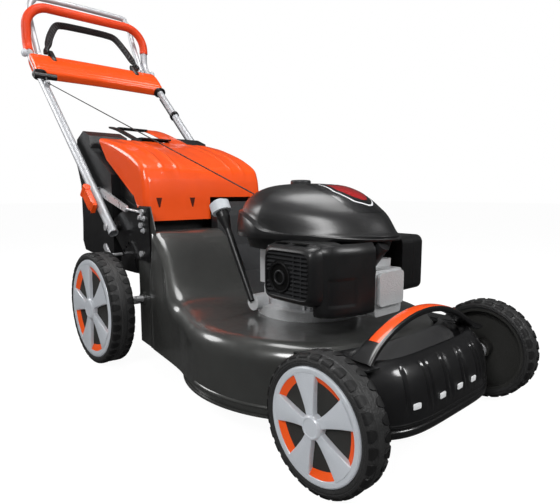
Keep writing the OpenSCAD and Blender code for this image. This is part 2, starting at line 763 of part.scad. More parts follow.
module gearbox_pulley() color(plastic_grey) placed() translate([gearbox_at[0], gearbox_at[1], pulley_z])
    pulley(gearbox_pulley_d, input_r + run);

module rear_axle() color(silver) placed() {
    hub_end = rear_track / 2 - 8;
    pin_y(rear_axle_at, -hub_end, hub_end, axle_r);
    for (side = [-1, 1]) {
        plate(side * rear_arm_y, arm_t) link_outline([rear_axle_at[0], rear_axle_at[2]], axle_r + 8,
            [rear_pin[0], rear_pin[2]], axle_r + 6);
        bar_y(rear_pin, side * rear_arm_y, side * (rear_half - 16), axle_r);
    }
}

module height_lever() color(silver) placed() {
    lever_y = -rear_arm_y - arm_t / 2;
    turn = 137;
    foot = [rear_pin[0], rear_pin[2]] + (axle_r + 17.3) * [cos(turn), sin(turn)];
    tip = [rear_pin[0], rear_pin[2]] + 180 * [cos(turn), sin(turn)];
    notch = [rear_pin[0] + notch_r * cos(turn), 0, rear_pin[2] + notch_r * sin(turn)];
    slab(lever_y, lever_y + arm_t) link_outline(foot, 7, tip, 8);
    pin_y(notch, lever_y, -bracket_y - bracket_t - 2, 4);
}

module front_arm(side) {
    stub_end = front_track / 2 - 8;
    plate(side * front_arm_y, arm_t) link_outline([front_axle[0], front_axle[2]], axle_r + 9,
        [front_pin[0], front_pin[2]], axle_r + 5);
    bar_y(front_axle, side * front_arm_y, side * stub_end, axle_r);
    bar_y(front_pin, side * front_arm_y, side * (front_arm_y - 34), axle_r);
}
module front_arm_right() color(silver) placed() front_arm(-1);
module front_arm_left() color(silver) placed() front_arm(1);

// Wheels: each is drawn about its own axle, with its outer face towards +z
cap_t = 6;
function ray(turn) = [cos(turn), sin(turn)];

module tyre(d, w) rotate_extrude() {
    r = d / 2;
    seat = r - tyre_wall;
    difference() {
        polygon([[seat, -w / 2 + 3], [seat + 6, -w / 2], [r - 7, -w / 2], [r, -w / 2 + 7],
            [r, w / 2 - 7], [r - 7, w / 2], [seat + 6, w / 2], [seat, w / 2 - 3]]);
        translate([r - tread_depth, -2]) square([tread_depth + cut, 4]);
    }
}

module rim(d, w) rotate_extrude() {
    seat = d / 2 - tyre_wall;
    hub = axle_r + 10;
    web = 5;
    face = w / 2 - cap_t - gap;
    translate([seat - 5, -w / 2 + 3]) square([5, face + w / 2 - 3]);
    translate([axle_r + run, -w / 2 + 2]) square([hub - axle_r - run, face + w / 2 - 2]);
    translate([hub - cut, face - 20]) square([seat - hub - 3, web]);
}

module wheel_cap(d, w) {
    seat = d / 2 - tyre_wall;
    step = 360 / spoke_count;
    root = 0.34 * seat;
    mouth = 0.86 * seat;
    translate([0, 0, w / 2 - cap_t]) difference() {
        union() {
            cylinder(h = cap_t - 1, r = seat);
            cylinder(h = cap_t, r = 0.3 * seat);
        }
        for (turn = [0 : step : 359]) rotate(turn) translate([0, 0, -cut]) linear_extrude(cap_t + 2 * cut)
            polygon([root * ray(-step / 8), mouth * ray(-step / 3.2), mouth * ray(0), mouth * ray(step / 3.6),
                root * ray(step / 8)]);
    }
}

module at_wheel(front, side) {
    at = front ? front_axle : rear_axle_at;
    y = front ? front_track / 2 - front_tyre_w / 2 : rear_track / 2 - rear_tyre_w / 2;
    placed() translate([at[0], side * y, at[2]]) rotate([-90 * side, 0, 0]) children();
}

module tyre_front_right() color(rubber) at_wheel(true, -1) tyre(front_wheel_d, front_tyre_w);
module tyre_front_left() color(rubber) at_wheel(true, 1) tyre(front_wheel_d, front_tyre_w);
module tyre_rear_right() color(rubber) at_wheel(false, -1) tyre(rear_wheel_d, rear_tyre_w);
module tyre_rear_left() color(rubber) at_wheel(false, 1) tyre(rear_wheel_d, rear_tyre_w);
module rim_front_right() color(plastic_grey) at_wheel(true, -1) rim(front_wheel_d, front_tyre_w);
module rim_front_left() color(plastic_grey) at_wheel(true, 1) rim(front_wheel_d, front_tyre_w);
module rim_rear_right() color(plastic_grey) at_wheel(false, -1) rim(rear_wheel_d, rear_tyre_w);
module rim_rear_left() color(plastic_grey) at_wheel(false, 1) rim(rear_wheel_d, rear_tyre_w);
module cap_front_right() color(silver) at_wheel(true, -1) wheel_cap(front_wheel_d, front_tyre_w);
module cap_front_left() color(silver) at_wheel(true, 1) wheel_cap(front_wheel_d, front_tyre_w);
module cap_rear_right() color(silver) at_wheel(false, -1) wheel_cap(rear_wheel_d, rear_tyre_w);
module cap_rear_left() color(silver) at_wheel(false, 1) wheel_cap(rear_wheel_d, rear_tyre_w);

// Handle
bend_r = 70;
corner_r = 76;
leg_end = 24;
turn_angle = 90 - handle_angle;
tangent = bend_r * tan(turn_angle / 2);

// The handle's lines are drawn from the upper bend of the legs
module bend(side, r) translate([bend_r, side * tube_y, tangent]) rotate([90, 0, 0])
    rotate([0, 0, 180 - over]) rotate_extrude(angle = turn_angle + 2 * over) translate([bend_r, 0])
        circle(r - bend_step);

module corner(side, r) translate([0, side * (tube_y - corner_r), grip_rise - corner_r])
    rotate([90, 0, 90]) rotate([0, 0, side > 0 ? -over : 90 - over])
        rotate_extrude(angle = 90 + 2 * over) translate([corner_r, 0]) circle(r - bend_step);

module upper_loop(r, right_from, left_from) {
    for (side = [-1, 1]) {
        low = side < 0 ? right_from : left_from;
        corner(side, r);
        translate([0, side * tube_y, low]) cylinder(h = grip_rise - corner_r - low, r = r);
    }
    rod([0, corner_r - tube_y, grip_rise], [0, tube_y - corner_r, grip_rise], r);
}

module tube_line(r, past) translate(bend_point) {
    upper_loop(r, tangent, tangent);
    for (side = [-1, 1]) {
        bend(side, r);
        translate([0, side * tube_y, 0]) rod(-tangent * leg_dir, -(leg_len + leg_end + past) * leg_dir, r);
    }
}

module handle_tube() color(silver) placed() {
    difference() {
        tube_line(tube_r, 0);
        tube_line(tube_r - tube_wall, cut);
        for (side = [-1, 1]) pin_y(pivot, side * tube_y - 20, side * tube_y + 20, pivot_r + run);
    }
    for (side = [-1, 1]) bar_y(bail_pivot, side * (tube_y - tube_r + 1), side * brake_stud_y, stud_r);
    difference() {
        rod(on_leg_point(guide_s, -tube_y, guide_n), on_leg_point(guide_s + 10, -tube_y, guide_n), guide_r);
        rod(rope_top, rope_top + 0.1 * (rope_end - rope_top), rope_d / 2 + 0.7);
        rod(on_leg_point(guide_s - cut, -tube_y, 0), on_leg_point(guide_s + 12, -tube_y, 0), tube_r - 0.5);
    }
}

module handle_grip() color(orange) placed() difference() {
    union() {
        translate(bend_point) upper_loop(sleeve_d / 2, tangent, tangent + 26);
        translate(bend_point) bend(-1, sleeve_d / 2);
    }
    tube_line(tube_r, 0);
}

// Console between the legs, bowed back at its middle
console_r = 19;
module console_slice(y, back) {
    middle = (console_s[0] + console_s[1]) / 2;
    for (p = [[console_s[0], 0], [console_s[1], 0], [middle, -14]])
        translate(on_leg_point(p[0], 0, p[1]) + [-back, y, back * 0.3]) rotate([90, 0, 0])
            cylinder(h = 1, r = console_r, $fn = 28);
}

module console() color(orange) placed() {
    stations = [[-tube_y - 10, 0], [-tube_y / 2, 22], [0, 32], [tube_y / 2, 22], [tube_y + 10, 0]];
    lug_y = drive_eye_y - 18;
    difference() {
        union() {
            for (i = [0 : len(stations) - 2]) hull() {
                console_slice(stations[i][0], stations[i][1]);
                console_slice(stations[i + 1][0], stations[i + 1][1]);
            }
            for (side = [-1, 1]) {
                slab(side * lug_y - 3, side * lug_y + 3) link_outline([drive_pivot[0], drive_pivot[2]], 9,
                    [drive_pivot[0] + 14, drive_pivot[2] - 44], 16);
                bar_y(drive_pivot, side * lug_y, side * (drive_eye_y + 7), stud_r);
            }
        }
        for (y = [-tube_y, tube_y])
            rod(on_leg_point(guide_s, y, 0), on_leg_point(leg_len - tangent, y, 0), tube_r);
    }
}

module starter_grip() color(plastic_black) placed() {
    foot = on_leg_point(guide_s + 10 + gap, -tube_y, guide_n);
    neck = on_leg_point(guide_s + 18, -tube_y, guide_n);
    top = on_leg_point(guide_s + 34, -tube_y, guide_n + 7);
    difference() {
        union() {
            bent_rod([foot, neck, top], 6);
            rod(top - [0, 34, 0], top + [0, 34, 0], 10);
        }
        rod(foot - (neck - foot), neck, rope_d / 2 + gap);
    }
}

module starter_rope() color(rubber) placed()
    rod(rope_end, rope_top + 4 * unit(rope_end - rope_top), rope_d / 2);

// A cord swept with a many-sided section along a smooth path through points
cord_sides = 8;
cord_steps = 5;
function spline(a, b, c, d, t) = 0.5 * (2 * b + (c - a) * t + (2 * a - 5 * b + 4 * c - d) * t * t
    + (3 * b - a - 3 * c + d) * t * t * t);
function path_point(p, k, t) = spline(p[max(k - 1, 0)], p[k], p[k + 1], p[min(k + 2, len(p) - 1)], t);
function unit(v) = v / norm(v);

module cord(points, r) {
    last_point = points[len(points) - 1];
    path = concat([for (k = [0 : len(points) - 2], j = [0 : cord_steps - 1])
        path_point(points, k, j / cord_steps)], [last_point]);
    turn = 360 / cord_sides;
    count = len(path);
    rings = [for (i = [0 : count - 1]) let (
        along = unit(path[min(i + 1, count - 1)] - path[max(i - 1, 0)]),
        side = unit(cross(along, [0, 1, 0])),
        up = cross(side, along))
        for (k = [0 : cord_sides - 1]) path[i] + r * (cos(k * turn) * side + sin(k * turn) * up)];
    last = (count - 1) * cord_sides;
    walls = [for (i = [0 : count - 2], k = [0 : cord_sides - 1]) let (n = (k + 1) % cord_sides)
        [i * cord_sides + k, i * cord_sides + n, (i + 1) * cord_sides + n, (i + 1) * cord_sides + k]];
    first_cap = [for (k = [cord_sides - 1 : -1 : 0]) k];
    last_cap = [for (k = [0 : cord_sides - 1]) last + k];
    polyhedron(rings, concat([first_cap], walls, [last_cap]));
}

// Brake and drive cables, clipped under the left leg and led down to the deck
module control_cables() color(rubber) placed() for (i = [-1, 1]) {
    y = tube_y + i * (cable_d / 2 + gap);
    n = -tube_r - cable_d / 2 - gap;
    drop_y = stay_y + stay_t / 2 + i * (cable_d / 2 + gap);
    cord([on_leg_point(console_s[0] - console_r - 2, y, n), on_leg_point(300, y, n), on_leg_point(70, y, n),
        on_leg_point(12, y, n - 4), [-40, drop_y + 4, 290], [10, drop_y + 2, 246], [70, drop_y + 4, 215],
        [130, drop_y + 12, 160]], cable_d / 2);
}

// Bails: each turns on two studs, the brake bail's on the legs and the drive bail's on the console
module brake_bail() color(silver) placed() {
    r = brake_d / 2;
    knee = bend_point + [-43, 0, 104];
    corner = [[-58, 4, 160], [-64, 20, 186], [-66, 52, 199]];
    for (side = [-1, 1]) difference() {
        union() {
            pin_y(bail_pivot, side * brake_y - 7, side * brake_y + 7, 11);
            rod(bail_pivot + [0, side * brake_y, 0], knee + [0, side * brake_y, 0], r);
        }
        pin_y(bail_pivot, side * brake_y - 20, side * brake_y + 20, stud_r + run);
    }
    right = [for (p = corner) bend_point + [p[0], p[1] - brake_y, p[2]]];
    left = [for (i = [len(corner) - 1 : -1 : 0]) right[i] + [0, 2 * (brake_y - corner[i][1]), 0]];
    bent_rod(concat([knee + [0, -brake_y, 0]], right, left, [knee + [0, brake_y, 0]]), r);
    for (side = [-1, 1]) translate(knee + [0, side * brake_y, 0]) sphere(r * ball);
}

drive_pivot = [bend_point[0] + 37, 0, bend_point[2] - 13];
drive_eye_y = 170;
module drive_bail() color(plastic_black) placed() {
    r = drive_d / 2;
    bar = drive_pivot + [-73, 0, 122];
    bar_half = 84;
    for (side = [-1, 1]) {
        eye = drive_pivot + [0, side * drive_eye_y, 0];
        turn_out = drive_pivot + [-12, side * 158, 24];
        difference() {
            union() {
                pin_y(drive_pivot, side * drive_eye_y - 7, side * drive_eye_y + 7, 10);
                rod(eye, turn_out, r);
            }
            pin_y(drive_pivot, side * drive_eye_y - 20, side * drive_eye_y + 20, stud_r + run);
        }
        bent_rod([turn_out, drive_pivot + [-38, side * 140, 67], drive_pivot + [-63, side * 112, 111],
            bar + [0, side * bar_half, 0]], r);
        translate(turn_out) sphere(r * ball);
    }
    rod(bar - [0, bar_half, 0], bar + [0, bar_half, 0], r + 1);
}

// Cam levers that clamp the legs to the stays
module cam_lever(side) translate(on_leg_point(clamp_at, side * (tube_y + tube_r + 11), 0))
    rotate([0, handle_angle, 0]) {
        cylinder(h = 34, r = 10.5, center = true);
        difference() {
            translate([-6, -7, -15]) cube([78, 14, 30]);
            translate([66, side * 12, -20]) cylinder(h = 40, r = 9);
        }
    }
module cam_lever_right() color(orange) placed() cam_lever(-1);
module cam_lever_left() color(orange) placed() cam_lever(1);

// Rear flap: a bent shell hung on its pin, with side cheeks and a handle tongue
flap_half = flap_w / 2;
flap_core = [-60, 430];
flap_points = [[92, 358], [89, 420], [83, 468], [66, 499], [24, 523], [-18, 540], [-90, 563], [-188, 584]];
function pulled(p, t) = p - t * (p - flap_core) / norm(p - flap_core);
flap_step = [chute_side - 1, 417];

module rear_flap() color(orange) placed() {
    ear_y = 150;
    ear_r = hinge_r + 5;
    n = len(flap_points) - 1;
    difference() {
        union() {
            slab(-flap_half, flap_half)
                polygon(concat(flap_points, [for (i = [n : -1 : 0]) pulled(flap_points[i], shell_t)]));
            for (side = [-1, 1]) {
                plate(side * (flap_half - shell_t / 2), shell_t)
                    polygon(concat(flap_points, [[-186, 551], [30, 418], [66, 358]]));
                slab(side * ear_y - 5, side * ear_y + 5) {
                    translate([hinge_at[0], hinge_at[2]]) circle(ear_r);
                    polygon([[hinge_at[0] - 3, hinge_at[2]], [hinge_at[0] + ear_r, hinge_at[2]], [90, 372],
                        [88, 430], [80, 430]]);
                }
            }
            slab(-70, 70) polygon([[-180, 582], [-250, 606], [-330, 632], [-385, 645], [-386, 638],
                [-330, 625], [-250, 599], [-180, 575]]);
        }
        translate([40, flap_step[0], 300]) cube([80, ear_y - 6 - flap_step[0], flap_step[1] - 300]);
        translate([40, ear_y + 6, 300]) cube([80, 100, flap_step[1] - 300]);
        pin_y(hinge_at, -300, 300, hinge_r + run);
        translate([-345, -48, 560]) cube([76, 96, 120]);
    }
}

// Catcher: a lid over a bin, open at the front where the chute meets it
catcher_half = catcher_w / 2;
mouth_half = flap_half - shell_t - 11;
lid_channel = 84;
wide_x = -80;
mouth_x = rear_end - gap;
channel_z = flap_points[len(flap_points) - 1][1] - 28;

module wide_outline() polygon([[wide_x, 236], [wide_x, 478], [-190, 545], [-216, 556], [-220, 592],
    [-267, 609], [-318, 588], [-332, 520], [-302, 452], [-302, 345], [-308, 285], [-290, 256]]);
module front_outline() polygon([[mouth_x, 206], [mouth_x, 430], [48, 468], [32, 482], [-4, 502], [-90, 535],
    [-188, channel_z], [-240, channel_z], [-240, 250], [wide_x, 232]]);
module low_outline() difference() {
    wide_outline();
    translate([-500, channel_z]) square([600, 200]);
}

// The catcher's outside, or with an inset its inside: two raised rails, the low middle and the front
module catcher_form(inset) {
    for (side = [-1, 1]) slab(side < 0 ? inset - catcher_half : lid_channel + inset,
        side < 0 ? -lid_channel - inset : catcher_half - inset) offset(delta = -inset) wide_outline();
    slab(inset - catcher_half, catcher_half - inset) offset(delta = -inset) low_outline();
    slab(inset - mouth_half, mouth_half - inset) offset(delta = -inset) front_outline();
}

module catcher_shell() difference() {
    catcher_form(0);
    catcher_form(shell_t);
    translate([mouth_x - 10, -mouth_half + 8, 214]) cube([20, mouth_half + chute_side - 16, 112]);
}

module split_line(z) slab(-300, 300) polygon([[200, z[0]], [-500, z[1]], [-500, z[2]], [200, z[2]]]);
seam = [330, 560];

module catcher_lid() color(plastic_grey) placed() intersection() {
    catcher_shell();
    split_line([seam[0] + gap / 2, seam[1] + gap / 2, 800]);
}

module catcher_bin() color(plastic_black) placed() intersection() {
    catcher_shell();
    split_line([seam[0] - gap / 2, seam[1] - gap / 2, 0]);
}

deck_housing();
front_bumper();
carry_handle_inlay();
belt_cover();
handle_brackets();
handle_stays();
bracket_bolts();
flap_pin();
drive_belt();
engine_block();
head_cover();
muffler();
muffler_guard();
engine_cowl();
engine_cover();
fuel_tank();
air_cleaner_case();
air_cleaner_cover();
air_filter();
spark_plug();
plug_cap();
oil_filler_tube();
engine_bolts();
crankshaft();
flywheel();
blade_hub();
blade();
blade_bolt();
gearbox_pulley();
gearbox();
rear_axle();
height_lever();
front_arm_right();
front_arm_left();
tyre_front_right();
rim_front_right();
cap_front_right();
tyre_front_left();
rim_front_left();
cap_front_left();
tyre_rear_right();
rim_rear_right();
cap_rear_right();
tyre_rear_left();
rim_rear_left();
cap_rear_left();
handle_tube();
handle_grip();
console();
control_cables();
starter_rope();
starter_grip();
brake_bail();
drive_bail();
cam_lever_right();
cam_lever_left();
rear_flap();
catcher_lid();
catcher_bin();
oil_cap();
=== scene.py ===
import logging
import math
from dataclasses import dataclass, field
from enum import Enum
from functools import cache
from typing import Callable, Sequence

import bmesh
import bpy
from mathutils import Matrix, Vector


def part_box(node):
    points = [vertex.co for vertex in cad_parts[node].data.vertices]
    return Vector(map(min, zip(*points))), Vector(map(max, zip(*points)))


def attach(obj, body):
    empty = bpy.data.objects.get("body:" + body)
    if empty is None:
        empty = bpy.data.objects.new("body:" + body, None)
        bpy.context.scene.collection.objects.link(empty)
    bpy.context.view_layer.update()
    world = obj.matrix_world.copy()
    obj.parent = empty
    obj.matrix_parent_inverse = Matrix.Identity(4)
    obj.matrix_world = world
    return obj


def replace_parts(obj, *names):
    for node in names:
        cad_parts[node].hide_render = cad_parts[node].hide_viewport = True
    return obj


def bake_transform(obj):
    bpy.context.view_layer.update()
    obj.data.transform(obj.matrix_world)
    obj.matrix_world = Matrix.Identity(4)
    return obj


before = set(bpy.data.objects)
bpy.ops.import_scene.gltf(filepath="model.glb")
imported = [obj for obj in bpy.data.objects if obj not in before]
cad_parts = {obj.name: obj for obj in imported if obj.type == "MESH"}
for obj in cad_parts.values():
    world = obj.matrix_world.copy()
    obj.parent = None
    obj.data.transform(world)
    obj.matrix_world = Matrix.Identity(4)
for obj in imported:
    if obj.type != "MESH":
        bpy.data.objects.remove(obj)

log = logging.getLogger("mower")
Point = tuple[float, float, float]
Flat = tuple[float, float]
Place = Callable[[float, float, float], Point]

MM: float = 1000.0  # millimetres in a metre
REAR_LO, REAR_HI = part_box("tyre_rear_right")
REAR_X: float = (REAR_LO.x + REAR_HI.x) / 2

# Places shared by several pieces, in millimetres about the rear axle.
LEG_FOOT: Flat = (-46.0, 339.0)
LEG_RISE: float = math.radians(42.5)
LEG_LENGTH: float = 876.0
TUBE_Y: float = 219.0
CRANK_X: float = 475.0
DECK_RADIUS: float = 268.0
DECK_TOP: float = 176.0


def at(x: float, y: float, z: float) -> Vector:
    """Millimetres from the rear axle, with z from the ground, to the shared frame in metres."""
    return Vector((REAR_X + x / MM, y / MM, z / MM))


def on_leg(along: float, y: float, out: float) -> Point:
    """A point beside the handle's leg.

    Args:
        along: Distance up the leg from its pivot.
        y: Distance to the left of the middle.
        out: Distance in front of the leg's centre line.

    Returns:
        The point, in millimetres about the rear axle.
    """
    c, s = math.cos(LEG_RISE), math.sin(LEG_RISE)
    return (LEG_FOOT[0] - along * c + out * s, y, LEG_FOOT[1] + along * s + out * c)


def curve(points: Sequence[Sequence[float]], share: float) -> tuple[float, ...]:
    """A smooth curve through points.

    Args:
        points: Points the curve goes through.
        share: Place along the curve, from 0 to 1.

    Returns:
        The point there.
    """
    last = len(points) - 1
    k = min(int(share * last), last - 1)
    t = share * last - k
    a, b, c, d = (points[min(max(k + j, 0), last)] for j in (-1, 0, 1, 2))
    return tuple(0.5 * (2 * q + (r - p) * t + (2 * p - 5 * q + 4 * r - s) * t * t
                        + (3 * q - p - 3 * r + s) * t ** 3) for p, q, r, s in zip(a, b, c, d))


def run(points: Sequence[Sequence[float]], steps: int) -> list[Point]:
    """Points of a smooth curve, with a number of steps between each two."""
    count = steps * (len(points) - 1)
    return [curve(points, k / count) for k in range(count + 1)]


def ease(value: float) -> float:
    """A smooth step from 0 to 1."""
    t = min(max(value, 0.0), 1.0)
    return t * t * (3 - 2 * t)


def between(table: Sequence[Flat], value: float) -> float:
    """Read a table of pairs with straight lines between them and its ends held."""
    for (a, low), (b, high) in zip(table, table[1:]):
        if value <= b:
            return low + (high - low) * min(max((value - a) / (b - a), 0.0), 1.0)
    return table[-1][1]


def oval(half_u: float, half_v: float, power: float, count: int) -> list[Flat]:
    """A rounded rectangle whose corners get squarer with a higher power."""
    turns = [2 * math.pi * k / count for k in range(count)]
    return [(math.copysign(half_u * abs(math.cos(a)) ** (2 / power), math.cos(a)),
             math.copysign(half_v * abs(math.sin(a)) ** (2 / power), math.sin(a))) for a in turns]


@dataclass
class Studio:
    """Camera, lights and floor."""

    eye: Point = (1197.7, -739.0, 429.2)
    yaw: float = 2.407
    pitch: float = -0.123
    lens: float = 30.94
    sensor: float = 36.0
    sight: float = 60.0
    surround: float = 0.22
    mirrored: float = 0.06
    white: float = 1.0
    floor_size: float = 20.0
    paper_dark: float = 0.45
    paper_pale: float = 0.49
    paper_rough: float = 0.9
    paper_scale: float = 0.6
    floor_glow: float = 1.2
    floor_mirrored: float = 0.05
    floor_share: float = 0.8

    def camera(self) -> None:
        """Place the camera where the photo was taken from."""
        data = bpy.data.cameras.new("photo_camera")
        data.lens = self.lens
        data.sensor_width = self.sensor
        data.clip_end = self.sight
        cam = bpy.data.objects.new("photo_camera", data)
        cam.location = at(*self.eye)
        flat = math.cos(self.pitch)
        look = Vector((flat * math.cos(self.yaw), flat * math.sin(self.yaw), math.sin(self.pitch)))
        cam.rotation_euler = look.to_track_quat("-Z", "Y").to_euler()
        bpy.context.scene.collection.objects.link(cam)
        bpy.context.scene.camera = cam

    def build(self) -> None:
        """Light the machine and lay the floor."""
        self.lamps()
        self.world()
        self.floor()

    def lamps(self) -> None:
        """Soft boxes around the machine."""
        for name, place, aim, size, power in (
                ("key_light", (1300, -1800, 1700), (300, 0, 250), 0.75, 30.0),
                ("top_light", (200, 100, 2400), (200, 0, 300), 1.2, 32.0),
                ("rear_light", (-1500, -1200, 1500), (0, 0, 400), 0.9, 18.0),
                ("front_light", (2200, 600, 1500), (500, 0, 250), 0.75, 24.0)):
            data = bpy.data.lights.new(name, "AREA")
            data.shape = "DISK"
            data.size = size
            data.energy = power
            lamp = bpy.data.objects.new(name, data)
            lamp.location = at(*place)
            lamp.rotation_euler = (at(*aim) - lamp.location).to_track_quat("-Z", "Y").to_euler()
            bpy.context.scene.collection.objects.link(lamp)

    def world(self) -> None:
        """An even surround that the camera sees as white and mirrors show dim."""
        world = bpy.data.worlds.new("surround")
        world.use_nodes = True
        nodes, links = world.node_tree.nodes, world.node_tree.links
        nodes.clear()
        path = nodes.new("ShaderNodeLightPath")
        shown = None
        for level, ray in ((self.surround, None), (self.mirrored, "Is Glossy Ray"),
                           (self.white, "Is Camera Ray")):
            glow = nodes.new("ShaderNodeBackground")
            glow.inputs["Color"].default_value = (1, 1, 1, 1)
            glow.inputs["Strength"].default_value = level
            if ray is None:
                shown = glow.outputs[0]
                continue
            mix = nodes.new("ShaderNodeMixShader")
            links.new(path.outputs[ray], mix.inputs[0])
            links.new(shown, mix.inputs[1])
            links.new(glow.outputs[0], mix.inputs[2])
            shown = mix.outputs[0]
        out = nodes.new("ShaderNodeOutputWorld")
        links.new(shown, out.inputs[0])
        bpy.context.scene.world = world
        bpy.context.scene.view_settings.view_transform = "Standard"

    def floor(self) -> None:
        """A pale floor that runs into the white surround, keeps the shadow and mirrors dim."""
        bm = bmesh.new()
        bmesh.ops.create_grid(bm, x_segments=2, y_segments=2, size=self.floor_size)
        mesh = bpy.data.meshes.new("floor")
        bm.to_mesh(mesh)
        bm.free()
        plane = bpy.data.objects.new("floor", mesh)
        bpy.context.scene.collection.objects.link(plane)
        graph = Graph("floor_paper")
        dark, pale = (self.paper_dark,) * 3, (self.paper_pale,) * 3
        graph.surface(graph.mix(graph.noise(self.paper_scale), dark, pale), self.paper_rough)
        paper = graph.output.inputs["Surface"].links[0].from_socket
        seen = graph.node("ShaderNodeLightPath", out="Is Camera Ray")
        mirrored = graph.node("ShaderNodeLightPath", out="Is Glossy Ray")
        glow, dim = (graph.node("ShaderNodeEmission", {"Color": (1.0, 1.0, 1.0), "Strength": level})
                     for level in (self.floor_glow, self.floor_mirrored))
        both = graph.node("ShaderNodeMixShader",
                          {0: seen * self.floor_share, 1: Sock(graph, paper), 2: glow})
        every = graph.node("ShaderNodeMixShader", {0: mirrored, 1: both, 2: dim})
        graph.tree.links.new(every.socket, graph.output.inputs["Surface"])
        mesh.materials.append(graph.material)


@dataclass(frozen=True)
class Cord:
    """A rope or cable that runs from the chassis to the handle."""

    name: str
    points: tuple[Point, ...]
    steps: int
    diameter: float
    stiffness: str
    lay: str
    hold: tuple[Point, Point]
    sides: int = 10

    def build(self) -> bpy.types.Object:
        """Sweep the cord along its route."""
        path = run(self.points, self.steps)
        shape = Shape(self.name)
        shape.tube(path, self.diameter / 2, self.sides)
        made = shape.finish(RUBBER if self.lay == "loose" else ROPE)
        route = [at(*p) for p in path]
        at(*self.hold[0])
        at(*self.hold[1])
        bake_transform(made)
        self.diameter / MM
        return made


@dataclass
class Cords:
    """The starter rope and the two control cables."""

    rope_tip: Point = (367.0, -40.0, 415.0)
    rope_top: Point = on_leg(635.0, -TUBE_Y, 19.5)
    rope_short: float = 4.0
    rope_width: float = 3.0
    cable_width: float = 5.0
    cable_gap: float = 2.9
    cable_out: float = -15.4
    drop_y: float = 202.35

    def build(self) -> None:
        """Lay the rope and both cables where the CAD has them."""
        tip, top = self.rope_tip, self.rope_top
        reach = 1.0 - self.rope_short / math.dist(tip, top)
        ends = tuple(tuple(a + (b - a) * k * reach / 4 for a, b in zip(tip, top)) for k in range(5))
        rope = Cord("starter_cord", ends, 4, self.rope_width, "limp", "taut", (tip, ends[-1]))
        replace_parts(rope.build(), "starter_rope")
        for k in (-1, 1):
            cable = self.cable(k)
            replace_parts(cable.build(), "control_cables")
            log.info("cable %s", cable.name)

    def cable(self, k: int) -> Cord:
        """The route of one of the two cables, from the deck up the left leg."""
        y, d, n = TUBE_Y + k * self.cable_gap, self.drop_y + k * self.cable_gap, self.cable_out
        points = ((130.0, d + 12, 160.0), (70.0, d + 4, 215.0), (10.0, d + 2, 246.0), (-40.0, d + 4, 290.0),
                  on_leg(12, y, n - 4), on_leg(70, y, n), on_leg(300, y, n), on_leg(685, y, n))
        return Cord(f"control_cable_{'inner' if k < 0 else 'outer'}", points, 5, self.cable_width, "medium",
                    "loose", ((0.0, d, 254.0), on_leg(70, y, n)))


class Sock:
    """One output of a shader graph, with arithmetic on it."""

    def __init__(self, graph: "Graph", socket: bpy.types.NodeSocket) -> None:
        """Wrap an output of one of the graph's nodes."""
        self.graph = graph
        self.socket = socket

    def _math(self, kind: str, a: "Value", b: "Value") -> "Sock":
        """Join two values by a maths node."""
        return self.graph.node("ShaderNodeMath", {0: a, 1: b}, operation=kind)

    def __add__(self, other: "Value") -> "Sock":
        """Sum of this and another value."""
        return self._math("ADD", self, other)

    def __radd__(self, other: "Value") -> "Sock":
        """Sum of another value and this."""
        return self._math("ADD", other, self)

    def __sub__(self, other: "Value") -> "Sock":
        """Difference of this and another value."""
        return self._math("SUBTRACT", self, other)

    def __rsub__(self, other: "Value") -> "Sock":
        """Difference of another value and this."""
        return self._math("SUBTRACT", other, self)

    def __mul__(self, other: "Value") -> "Sock":
        """Product of this and another value."""
        return self._math("MULTIPLY", self, other)

    def above(self, edge: float, soft: float) -> "Sock":
        """A step from 0 to 1 at an edge.

        Args:
            edge: Value in the middle of the step.
            soft: Half the width of the step.

        Returns:
            The step's value, between 0 and 1.
        """
        return self.graph.node("ShaderNodeMapRange",
                               {"Value": self, "From Min": edge - soft, "From Max": edge + soft})


Value = float | int | Sock
Colour = tuple[float, float, float]


